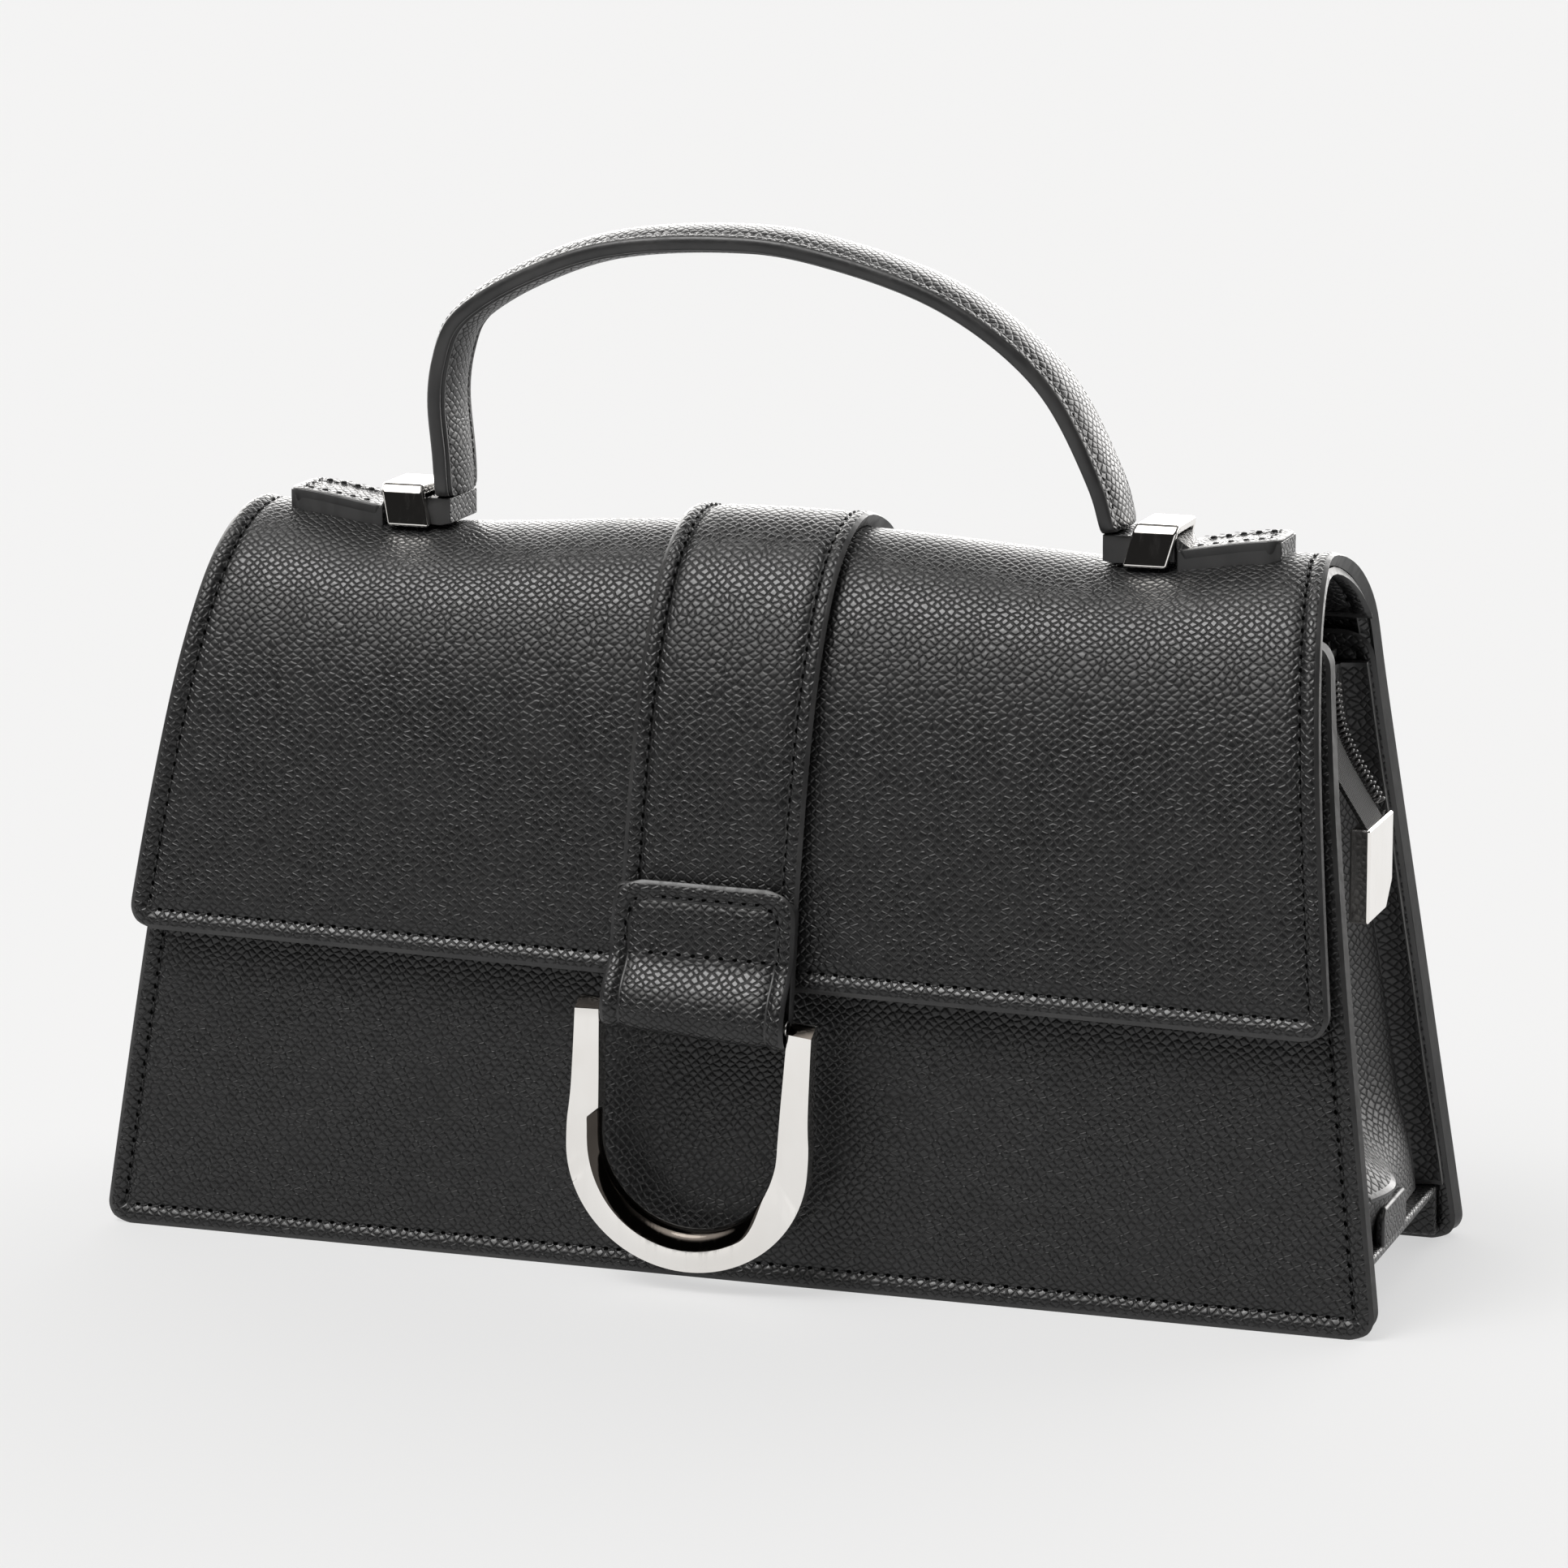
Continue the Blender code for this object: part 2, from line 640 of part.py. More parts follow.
def gusset_fold(z):
    """How far a gusset folds in at its middle; it bulges out a little at the foot."""
    folded = smooth_step(z, GUSSET_FOLD_FROM, GUSSET_FOLD_FULL)
    spread = smooth_step(z, GUSSET_SPREAD_FROM, GUSSET_SPREAD_FULL)
    fold = -GUSSET_BULGE + (GUSSET_FOLD + GUSSET_BULGE) * folded
    return fold - (GUSSET_FOLD - GUSSET_TOP_FOLD) * spread


GUSSET_FOOT = BASE_HEIGHT + BASE_PLY + GAP
GUSSET_LEVELS = [GUSSET_FOOT + (GUSSET_TOP - GUSSET_FOOT) * i / GUSSET_STEPS
                 for i in range(GUSSET_STEPS + 1)]


def fold_between_levels(z):
    """A gusset's fold, straight between the levels that shape it."""
    i = 1
    while i < GUSSET_STEPS and GUSSET_LEVELS[i] < z:
        i += 1
    low, high = gusset_fold(GUSSET_LEVELS[i - 1]), gusset_fold(GUSSET_LEVELS[i])
    share = (z - GUSSET_LEVELS[i - 1]) / (GUSSET_LEVELS[i] - GUSSET_LEVELS[i - 1])
    return low + (high - low) * share


def make_gusset(name, side, finish, bag):
    """Folded end wall with a flange along each board."""
    near, far = [], []
    for z in GUSSET_LEVELS:
        corner = gusset_corner(z)
        tip = panel_half(z) - GUSSET_FLANGE_MARGIN
        line = [(tip, front_inner_y(z)), (corner, front_inner_y(z)),
                (corner - gusset_fold(z), middle_y(z)),
                (corner, back_inner_y(z)), (tip, back_inner_y(z))]
        outer = offset_line(line, GUSSET_PLY)
        near.append([(side * x, y, z) for x, y in line])
        far.append([(side * x, y, z) for x, y in outer])
    return slab(name, near, far, finish, bag, split=True)


def make_base(bag, leather, board):
    """Raised base with flanges along both boards, its turned-up ends and its stiffener."""
    top = BASE_HEIGHT + BASE_PLY
    foot = BASE_FLANGE_FOOT
    outer = [(front_inner_y(foot), foot), (front_inner_y(top), top),
             (back_inner_y(top), top), (back_inner_y(foot), foot)]
    inner = [(front_inner_y(foot) + BASE_PLY, foot),
             (front_inner_y(BASE_HEIGHT) + BASE_PLY, BASE_HEIGHT),
             (back_inner_y(BASE_HEIGHT) - BASE_PLY, BASE_HEIGHT),
             (back_inner_y(foot) - BASE_PLY, foot)]
    near = [[(x, y, z) for y, z in outer] for x in (-BASE_HALF, BASE_HALF)]
    far = [[(x, y, z) for y, z in inner] for x in (-BASE_HALF, BASE_HALF)]
    slab("base_panel", near, far, leather, bag)
    for side, name in ((-1, "base_end_left"), (1, "base_end_right")):
        start = BASE_HALF + GAP
        xs = sorted((side * start, side * (start + BASE_END_PLY)))
        centre = middle_y(top)
        half, chamfer = BASE_END_HALF_DEPTH, BASE_END_HEIGHT / 4
        height = BASE_HEIGHT + BASE_END_HEIGHT
        outline = [(centre - half, BASE_HEIGHT), (centre + half, BASE_HEIGHT),
                   (centre + half, height - chamfer), (centre + half - chamfer, height),
                   (centre - half + chamfer, height), (centre - half, height - chamfer)]
        along_x(name, outline, xs[0], xs[1], leather, bag)
    low = top + GAP
    high = low + BASE_BOARD_THICKNESS
    half = gusset_corner(high) - BASE_BOARD_MARGIN
    outline = [(front_inner_y(low), low), (back_inner_y(high), low),
               (back_inner_y(high), high), (front_inner_y(high), high)]
    outline[0] = (front_inner_y(high), low)
    along_x("base_board", outline, -half, half, board, bag)


def lining_loop(z, depth):
    """Six-cornered level line of the lining, a depth inside its outer face."""
    slack = LINING_SLACK
    corner = gusset_corner(z) - slack
    tip = corner - fold_between_levels(z)
    front, back, middle = front_inner_y(z) + slack, back_inner_y(z) - slack, middle_y(z)
    line = [(-corner, front), (corner, front), (tip, middle), (corner, back),
            (-corner, back), (-tip, middle)]
    return [(x, y, z) for x, y in offset_line(line, -depth, closed=True)]


def make_lining(bag, cloth):
    """Loose lining sack with an open top and a patch pocket on its back wall."""
    low = BASE_HEIGHT + BASE_PLY + GAP + BASE_BOARD_THICKNESS + GAP
    high = ZIP_HEIGHT + FACING_ABOVE_ZIP - FACING_HEIGHT - GAP
    levels = [low] + [z for z in GUSSET_LEVELS if low < z < high] + [high]
    outer = [lining_loop(z, 0.0) for z in levels]
    floor = [(x, y, low + LINING_PLY) for x, y, z in lining_loop(levels[0], LINING_PLY)]
    inner = [floor] + [lining_loop(z, LINING_PLY) for z in levels[1:]]
    cup("lining_bag", outer, inner, cloth, bag)

    def wall(z):
        return back_inner_y(z) - LINING_SLACK - LINING_PLY - GAP

    near, far = [], []
    for z in (POCKET_FOOT, high - POCKET_BELOW_LINING):
        near.append([(x, wall(z), z) for x in (-POCKET_HALF, POCKET_HALF)])
        far.append([(x, wall(z) - POCKET_PLY, z) for x in (-POCKET_HALF, POCKET_HALF)])
    slab("inner_pocket", near, far, cloth, bag)


def make_facings(bag, leather):
    """Strips inside the mouth that the zip tapes are sewn to."""
    top = ZIP_HEIGHT + FACING_ABOVE_ZIP
    low = top - FACING_HEIGHT
    half = gusset_corner(top) - GUSSET_FLANGE_MARGIN
    front = [(front_inner_y(low), low), (front_inner_y(low) + FACING_PLY, low),
             (front_inner_y(top) + FACING_PLY, top), (front_inner_y(top), top)]
    back = [(back_inner_y(low) - FACING_PLY, low), (back_inner_y(low), low),
            (back_inner_y(top), top), (back_inner_y(top) - FACING_PLY, top)]
    along_x("facing_front", front, -half, half, leather, bag)
    along_x("facing_back", back, -half, half, leather, bag)


def make_snap(bag, flap, metal):
    """Magnetic snap: stud and washer on the front, cap on the flap's lining."""
    z = SNAP_HEIGHT
    lean = (front_y(z + SNAP_RADIUS) - front_y(z - SNAP_RADIUS)) / (2 * SNAP_RADIUS)
    slope = math.hypot(1.0, lean)
    out = (-1.0 / slope, lean / slope)
    disc_along("magnet_stud", (front_y(z) + out[0] * GAP, z), out, SNAP_RADIUS,
               STUD_THICKNESS, metal, bag)
    disc_along("magnet_washer", (front_inner_y(z), z), (-out[0], -out[1]),
               WASHER_RADIUS, WASHER_THICKNESS, metal, bag)
    run = (z - FRONT_FOOT[1]) / FRONT_UP[1]
    depth = FLAP_PLY + GAP + FLAP_LINING_PLY + GAP
    place = (FRONT_FOOT[0] + FRONT_UP[0] * run - FRONT_OUT[0] * depth,
             FRONT_FOOT[1] + FRONT_UP[1] * run - FRONT_OUT[1] * depth)
    disc_along("magnet_cap", place, (-FRONT_OUT[0], -FRONT_OUT[1]), SNAP_RADIUS,
               STUD_THICKNESS, metal, flap)


# Flap and what is sewn to it

def make_flap(flap, leather, board):
    """Outer ply and lining of the flap, from its hinge line to its front edge."""
    slab("flap_outer", flap_grid(0.0), flap_grid(FLAP_PLY), leather, flap, True, True)
    low, high = FLAP_PLY + GAP, FLAP_PLY + GAP + FLAP_LINING_PLY
    slab("flap_lining", flap_grid(low, FLAP_LINING_INSET), flap_grid(high, FLAP_LINING_INSET),
         board, flap, True, True)


def make_band(flap, leather):
    """Stiff strap over the middle of the flap, longer than the flap at the front."""
    first = min(i for i, s in enumerate(FLAP_STATIONS) if s > CREST_AT - BAND_BACK_LENGTH)
    last = len(FLAP_STATIONS) - 1
    stations = FLAP_STATIONS[first:] + [FLAP_LENGTH]
    grids = []
    for depth in (-GAP - BAND_PLY, -GAP):
        line = strip_line(first, last, depth, BAND_BELOW_FLAP)
        grids.append([[(x, y, z - crest_drop(x, s)) for x in (-BAND_HALF, 0.0, BAND_HALF)]
                      for (y, z), s in zip(line, stations)])
    slab("flap_band", grids[0], grids[1], leather, flap, True, True)


def from_front(up, out):
    """Point a way up the flap's front run from the bar's height and a way out of it."""
    return (FRONT_FOOT[0] + FRONT_UP[0] * up + FRONT_OUT[0] * out,
            FRONT_FOOT[1] + FRONT_UP[1] * up + FRONT_OUT[1] * out)


def make_tab(flap, leather):
    """Folded tab that holds the ring's bar, with a bore for the bar."""
    back, front = TAB_BACK, TAB_BACK + TAB_TOP_PLY
    round_part = []
    for i in range(TAB_STEPS + 1):
        angle = math.radians(-90 + 180 * i / TAB_STEPS)
        round_part.append((-TAB_ROUND * math.cos(angle), BAR_OUT + TAB_ROUND * math.sin(angle)))
    section = round_part + [(TAB_SLOPE_UP, BAR_OUT + TAB_ROUND - TAB_SLOPE_DROP),
                            (TAB_SEAM, front), (TAB_TOP, front), (TAB_TOP, back)]
    section = [from_front(up, out) for up, out in section]
    tab = along_x("ring_tab", section, -TAB_HALF, TAB_HALF, leather, flap)
    cutter = along_x("ring_tab_bore_cutter", bar_outline(BAR_RADIUS + PIVOT_CLEARANCE),
                     -TAB_HALF - PIVOT_CLEARANCE, TAB_HALF + PIVOT_CLEARANCE, leather, flap)
    cutter.hide_render = True
    cutter.display_type = 'WIRE'
    cut = tab.modifiers.new("bar bore", 'BOOLEAN')
    cut.operation = 'DIFFERENCE'
    cut.object = cutter


def bar_outline(radius):
    """Round outline about the bar's axis."""
    turns = [math.tau * i / BAR_STEPS for i in range(BAR_STEPS)]
    return [(BAR_POINT[0] + radius * math.cos(turn), BAR_POINT[1] + radius * math.sin(turn))
            for turn in turns]


def ring_halves():
    """Outer and inner lines of the horseshoe, from the left prong's top round to the right."""
    top = BAR_POINT[1] + RING_PRONG_ABOVE_BAR
    centre = BAR_POINT[1] - RING_ARC_BELOW_BAR
    low_centre = centre - RING_ARC_STEP
    flat_top = low_centre + RING_FLAT_LENGTH
    half = RING_INNER_HALF + RING_PRONG_WIDTH
    heights = (top, flat_top + RING_FLARE_LENGTH, flat_top)
    outer = list(zip((-half, -half, -RING_OUTER_HALF), heights))
    inner = [(-RING_INNER_HALF, z) for z in heights]
    for i in range(RING_STEPS + 1):
        turn = math.pi + math.pi * i / RING_STEPS
        outer.append((RING_OUTER_HALF * math.cos(turn),
                      low_centre + (low_centre - RING_FLOOR_CLEARANCE) * math.sin(turn)))
        inner.append((RING_INNER_HALF * math.cos(turn),
                      centre + RING_INNER_HALF * math.sin(turn)))
    outer += [(-x, z) for x, z in reversed(outer[:3])]
    inner += [(-x, z) for x, z in reversed(inner[:3])]
    return outer, inner


def make_ring(ring, metal):
    """Flat horseshoe ring and the bar that it swings on."""
    outer, inner = ring_halves()
    grids = []
    for y in (BAR_POINT[0] - RING_THICKNESS / 2, BAR_POINT[0] + RING_THICKNESS / 2):
        grids.append([[(a[0], y, a[1]), (b[0], y, b[1])] for a, b in zip(outer, inner)])
    slab("horseshoe_ring", grids[0], grids[1], metal, ring)
    along_x("ring_bar", bar_outline(BAR_RADIUS), -RING_INNER_HALF + GAP, RING_INNER_HALF - GAP,
            metal, ring, smooth=True)


# Handle, its sewn ends and the loops that hold them

def handle_line():
    """Middle line of the handle's strap in X and Z, from its left foot over to its right foot."""
    foot_z = PIVOT_HEIGHT - PIVOT_RADIUS * FOOT_SHARE
    points = [(HANDLE_FOOT_X * across, foot_z + HANDLE_RISE * up) for across, up in HANDLE_ARCH_SHARES]
    curve = spline(points, SPLINE_STEPS)
    lengths = distances(curve)
    total = lengths[-1]
    stations = [PIVOT_RADIUS * share for share in FOOT_STATION_SHARES]
    inner = [stations[-1] + (total - 2 * stations[-1]) * i / HANDLE_STEPS
             for i in range(1, HANDLE_STEPS)]
    stations = stations + inner + [total - s for s in reversed(stations)]
    return [point_at(curve, lengths, s) for s in stations]


def foot_half(z):
    """Half width of the strap at a height: round about the pivot, then spreading to full."""
    rise = z - PIVOT_HEIGHT
    if rise < 0:
        return math.sqrt(max(PIVOT_RADIUS ** 2 - rise ** 2, 0.0))
    spread = smooth_step(rise, 0.0, SPOON_LENGTH)
    return PIVOT_RADIUS + (HANDLE_HALF_WIDTH - PIVOT_RADIUS) * spread


def handle_section(shape):
    """Loops of a section, given across and out of the strap, all the way along the handle."""
    line = handle_line()
    outward = offset_line(line, -1.0)
    loops = []
    for (x, z), (ox, oz) in zip(line, outward):
        step = math.hypot(ox - x, oz - z)
        nx, nz = (ox - x) / step, (oz - z) / step
        loop = []
        for across, out in shape:
            spread = foot_half(z + nz * out) / HANDLE_HALF_WIDTH
            loop.append((x + nx * out, HANDLE_Y + across * spread, z + nz * out))
        loops.append(loop)
    return loops


def make_handle(handle, leather, board, core):
    """Padded arch: domed outer leather over a core, with a flat underside."""
    half, seam = HANDLE_HALF_WIDTH, GAP / 2
    wall = HANDLE_EDGE
    core_half, core_top = HANDLE_CORE_HALF, seam + HANDLE_CORE_HEIGHT
    shoulder, shoulder_rise = half * SHOULDER_ACROSS_SHARE, HANDLE_DOME * SHOULDER_RISE_SHARE
    hollow, hollow_rise = core_half * HOLLOW_SHARE + GAP, core_top * HOLLOW_SHARE
    shape = [(-half, seam), (-half, wall), (-shoulder, shoulder_rise), (0.0, HANDLE_DOME),
             (shoulder, shoulder_rise), (half, wall), (half, seam), (core_half + GAP, seam),
             (hollow, hollow_rise), (0.0, core_top + GAP), (-hollow, hollow_rise),
             (-core_half - GAP, seam)]
    sweep("handle_cover", handle_section(shape), leather, handle, True, True)
    side, side_rise = core_half * CORE_ACROSS_SHARE, core_top * CORE_RISE_SHARE
    filler = [(-core_half, seam), (-side, side_rise), (0.0, core_top - GAP), (side, side_rise),
              (core_half, seam)]
    sweep("handle_core", handle_section(filler), core, handle, True, True)
    under = [(-half, -seam), (half, -seam), (half, -seam - HANDLE_UNDERSIDE),
             (-half, -seam - HANDLE_UNDERSIDE)]
    sweep("handle_underside", handle_section(under), board, handle, True, True)


def make_handle_end(name, side, flap, leather):
    """Strap end on the flap: low neck under the handle's foot, then the tab past the loop."""
    neck_top = crest_z(HANDLE_FOOT_X) + GAP + NECK_THICKNESS
    loop_low = LOOP_CENTRE_X - LOOP_WIDTH / 2
    loop_high = LOOP_CENTRE_X + LOOP_WIDTH / 2
    start = HANDLE_FOOT_X - HANDLE_DOME
    stations = [x for x in FLAP_COLUMNS if start < x < END_TAB_TIP]
    stations += [start, loop_low - GAP, loop_low, loop_high, END_TAB_START, END_TAB_TIP - PANEL_PLY,
                 END_TAB_TIP]
    loops = []
    for x in sorted(set(stations)):
        low = crest_z(x) + GAP
        high = neck_top if x < loop_low else low + STRAP_END_THICKNESS
        half = NECK_HALF if x < END_TAB_START else END_TAB_HALF
        if x >= END_TAB_TIP:
            half -= PANEL_PLY / 2
        loops.append([(side * x, HANDLE_Y - half, low), (side * x, HANDLE_Y + half, low),
                      (side * x, HANDLE_Y + half, high), (side * x, HANDLE_Y - half, high)])
    return sweep(name, loops, leather, flap, split=True)


def flap_z(x, y):
    """Height of the flap's outer face near its crest."""
    for i in range(len(FLAP_LINE) - 1):
        (y0, z0), (y1, z1) = FLAP_LINE[i], FLAP_LINE[i + 1]
        if y1 <= y <= y0:
            share = (y0 - y) / (y0 - y1)
            place = FLAP_STATIONS[i] + (FLAP_STATIONS[i + 1] - FLAP_STATIONS[i]) * share
            return z0 + (z1 - z0) * share - crest_drop(x, place)
    return CREST_HEIGHT


def make_loop(name, side, flap, metal):
    """Metal bridge over the strap's neck, standing on the flap."""
    xs = [LOOP_CENTRE_X - LOOP_WIDTH / 2, LOOP_CENTRE_X + LOOP_WIDTH / 2]
    inner = NECK_HALF + LOOP_CLEARANCE
    outer = inner + LOOP_METAL
    strap_top = max(crest_z(x) for x in xs) + GAP + STRAP_END_THICKNESS
    roof = strap_top + LOOP_CLEARANCE
    top = roof + LOOP_METAL
    feet = []
    for way in (-1, 1):
        heights = [flap_z(x, HANDLE_Y + way * reach) for x in xs for reach in (inner, outer)]
        feet.append(max(heights) + GAP)
    outline = [(-outer, feet[0]), (-outer, top - LOOP_BEVEL), (-outer + LOOP_BEVEL, top),
               (outer - LOOP_BEVEL, top), (outer, top - LOOP_BEVEL), (outer, feet[1]),
               (inner, feet[1]), (inner, roof), (-inner, roof), (-inner, feet[0])]
    outline = [(HANDLE_Y + y, z) for y, z in outline]
    low, high = sorted(side * x for x in xs)
    along_x(name, outline, low, high, metal, flap)


# Zip

def flat_plate(name, outline, z_low, z_high, finish, pivot):
    """Level plate with an outline in X and Y."""
    loops = [[(x, y, z) for x, y in outline] for z in (z_low, z_high)]
    return sweep(name, loops, finish, pivot)


def make_leaf(word, side, root_y, pivot, cloth, chain):
    """One side of the zip: its tape, stepped back round the parked slider, and its chain."""
    split = CHAIN_SPLIT / 2
    free_y = ZIP_Y + side * (split + CHAIN_WIDTH + GAP)
    park_y = ZIP_Y + side * (SLIDER_WIDTH / 2 + 2 * GAP)
    outline = [(-TAPE_HALF, root_y), (CHAIN_END, root_y), (CHAIN_END, free_y),
               (CHAIN_START, free_y), (CHAIN_START, park_y), (-TAPE_HALF, park_y)]
    flat_plate("zip_tape_" + word, outline, ZIP_HEIGHT - TAPE_PLY / 2, ZIP_HEIGHT + TAPE_PLY / 2,
               cloth, pivot)
    ys = sorted((ZIP_Y + side * split, ZIP_Y + side * (split + CHAIN_WIDTH)))
    box("zip_chain_" + word, (CHAIN_START, ys[0], ZIP_HEIGHT - CHAIN_HEIGHT / 2),
        (CHAIN_END, ys[1], ZIP_HEIGHT + CHAIN_HEIGHT / 2), chain, pivot)


def make_zip(bag, front, back, slider, pull, cloth, chain, metal):
    """Two leaves, the slider and its pull, and the tape that stays shut at each end."""
    make_leaf("front", -1, FRONT_LEAF_Y, front, cloth, chain)
    make_leaf("back", 1, BACK_LEAF_Y, back, cloth, chain)

    wide, post = SLIDER_WIDTH / 2, SLIDER_POST / 2
    room = CHAIN_HEIGHT / 2 + SLIDER_CHANNEL_CLEARANCE
    section = [(-wide, -SLIDER_TOP), (wide, -SLIDER_TOP), (wide, -room), (post, -room),
               (post, room), (wide, room), (wide, SLIDER_TOP), (-wide, SLIDER_TOP),
               (-wide, room), (-post, room), (-post, -room), (-wide, -room)]
    section = [(ZIP_Y + y, ZIP_HEIGHT + z) for y, z in section]
    half = SLIDER_LENGTH / 2
    along_x("zip_slider", section, SLIDER_X - half, SLIDER_X + half, metal, slider)
    bail_low = ZIP_HEIGHT + SLIDER_TOP + GAP
    box("slider_bail", (SLIDER_X - half, ZIP_Y - BAIL_WIDTH / 2, bail_low),
        (SLIDER_X - GAP - PULL_THICKNESS / 2, ZIP_Y + BAIL_WIDTH / 2, bail_low + BAIL_HEIGHT),
        metal, slider)
    box("zip_pull", (SLIDER_X, ZIP_Y - PULL_HALF, PULL_Z - PULL_THICKNESS / 2),
        (SLIDER_X + PULL_LENGTH, ZIP_Y + PULL_HALF, PULL_Z + PULL_THICKNESS / 2), metal, pull)

    front_y_edge, back_y_edge = FRONT_FACING_FACE + GAP, BACK_FACING_FACE - GAP
    z_low, z_high = ZIP_HEIGHT - TAPE_PLY, ZIP_HEIGHT + TAPE_PLY
    left = [(-ZIP_END_OUTER, front_y_edge), (-ZIP_END_INNER, front_y_edge),
            (-ZIP_END_INNER, back_y_edge), (-ZIP_END_OUTER, back_y_edge)]
    flat_plate("zip_end_left", left, z_low, z_high, cloth, bag)
    start, slit = CHAIN_END + GAP, CHAIN_SPLIT / 2
    slit_end = SLIDER_OPEN_X + half + SLIDER_END_CLEARANCE
    right = [(start, front_y_edge), (ZIP_END_OUTER, front_y_edge), (ZIP_END_OUTER, back_y_edge),
             (start, back_y_edge), (start, ZIP_Y + slit), (slit_end, ZIP_Y + slit),
             (slit_end, ZIP_Y - slit), (start, ZIP_Y - slit)]
    flat_plate("zip_end_right", right, z_low, z_high, cloth, bag)


def make_tail(tail, cloth, chain, metal):
    """Free tail of the zip with its metal cap."""
    points = [(TAIL_LEAN * out, -TAIL_LENGTH * down) for out, down in TAIL_BEND_SHARES]
    curve = spline(points, TAIL_STEPS)
    line = [(TAIL_ROOT_X + x, ZIP_HEIGHT + z) for x, z in curve]
    front = ZIP_Y + TAIL_SHIFT - CAP_HALF + CAP_METAL
    tape_end = front + TAIL_TAPE_WIDTH
    chain_end = tape_end + GAP + TAIL_CHAIN_WIDTH

    def ribbon(name, y_low, y_high, thickness, finish, start):
        grids = []
        for amount in (-thickness / 2, thickness / 2):
            moved = offset_line(line, amount)[start:]
            grids.append([[(x, y_low, z), (x, y_high, z)] for x, z in moved])
        slab(name, grids[0], grids[1], finish, tail)

    ribbon("zip_tail_tape", front, tape_end, TAPE_PLY, cloth, 0)
    ribbon("zip_tail_chain", tape_end + GAP, chain_end, CHAIN_HEIGHT, chain, 2)
    x_middle = line[-1][0]
    top = line[-1][1] - CHAIN_HEIGHT / 2 - GAP
    low = top - CAP_HEIGHT
    y_low, y_high = ZIP_Y + TAIL_SHIFT - CAP_HALF, ZIP_Y + TAIL_SHIFT + CAP_HALF
    outline = [(y_low, low), (y_high - CAP_CHAMFER, low), (y_high, low + CAP_CHAMFER),
               (y_high, top), (y_low, top)]
    along_x("zip_end_cap", outline, x_middle - CAP_THICKNESS / 2, x_middle + CAP_THICKNESS / 2,
            metal, tail)


def build():
    """Make every piece of the bag on its joint's axis."""
    clear_scene()
    leather = material("grained_leather", (0.020, 0.020, 0.021), 0.45)
    board = material("inner_leather", (0.030, 0.030, 0.031), 0.60)
    cloth = material("lining_cloth", (0.035, 0.035, 0.037), 0.85)
    core = material("padding", (0.100, 0.100, 0.100), 0.90)
    chain = material("zip_coil", (0.045, 0.045, 0.048), 0.40)
    nickel = material("polished_nickel", (0.80, 0.77, 0.72), 0.12, 1.0)

    bag = make_pivot("bag_frame", (0.0, 0.0, 0.0))
    flap = make_pivot("flap_pivot", (0.0, HINGE_POINT[0], HINGE_POINT[1]), bag)
    handle = make_pivot("handle_pivot", (0.0, HANDLE_Y, PIVOT_HEIGHT), flap)
    ring = make_pivot("ring_pivot", (0.0, BAR_POINT[0], BAR_POINT[1]), flap)
    front_leaf = make_pivot("zip_front_pivot", (0.0, FRONT_LEAF_Y, ZIP_HEIGHT), bag)
    back_leaf = make_pivot("zip_back_pivot", (0.0, BACK_LEAF_Y, ZIP_HEIGHT), bag)
    slider = make_pivot("slider_pivot", (SLIDER_X, ZIP_Y, ZIP_HEIGHT), bag)
    pull = make_pivot("pull_pivot", (SLIDER_X, ZIP_Y, PULL_Z), slider)
    tail = make_pivot("tail_pivot", (TAIL_ROOT_X, ZIP_Y, ZIP_HEIGHT), bag)

    make_panels(bag, leather, board)
    make_gusset("gusset_left", -1, leather, bag)
    make_gusset("gusset_right", 1, leather, bag)
    make_base(bag, leather, board)
    make_lining(bag, cloth)
    make_facings(bag, leather)
    make_snap(bag, flap, nickel)
    make_flap(flap, leather, board)
    make_band(flap, leather)
    make_tab(flap, leather)
    make_ring(ring, nickel)
    make_handle(handle, leather, board, core)
    for side, word in ((-1, "left"), (1, "right")):
        make_handle_end("handle_end_" + word, side, flap, leather)
        make_loop("handle_loop_" + word, side, flap, nickel)
    make_zip(bag, front_leaf, back_leaf, slider, pull, cloth, chain, nickel)
    make_tail(tail, cloth, chain, nickel)


build()
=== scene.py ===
"""Looks of a structured top handle flap bag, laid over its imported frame.

Lengths are metres, in the frame's own axes: X to the right of a person who faces the front,
Y to the back, Z up. Each leather part is cut as a flat pattern, laid on its place, given its
thickness and painted edges, and sewn with its own threads.
"""

import math
from contextlib import contextmanager

import bmesh
import bpy
import numpy as np
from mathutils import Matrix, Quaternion, Vector
from mathutils import noise as wander


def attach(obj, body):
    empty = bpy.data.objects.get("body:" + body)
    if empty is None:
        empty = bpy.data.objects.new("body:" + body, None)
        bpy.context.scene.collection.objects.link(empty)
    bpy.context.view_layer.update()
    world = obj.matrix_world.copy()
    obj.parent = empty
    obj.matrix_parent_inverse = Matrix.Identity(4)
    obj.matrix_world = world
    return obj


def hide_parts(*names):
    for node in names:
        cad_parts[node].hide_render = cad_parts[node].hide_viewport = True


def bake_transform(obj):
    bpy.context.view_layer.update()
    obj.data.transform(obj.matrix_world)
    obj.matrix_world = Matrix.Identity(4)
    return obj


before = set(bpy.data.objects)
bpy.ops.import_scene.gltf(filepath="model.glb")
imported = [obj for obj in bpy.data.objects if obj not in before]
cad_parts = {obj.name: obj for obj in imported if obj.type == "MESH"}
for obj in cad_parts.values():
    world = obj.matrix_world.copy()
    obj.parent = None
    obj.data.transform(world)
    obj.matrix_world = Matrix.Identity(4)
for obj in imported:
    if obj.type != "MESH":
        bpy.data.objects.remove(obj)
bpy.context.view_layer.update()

# Photograph's view
VIEW_TARGET = Vector((0.000276, 0.006326, 0.093047))
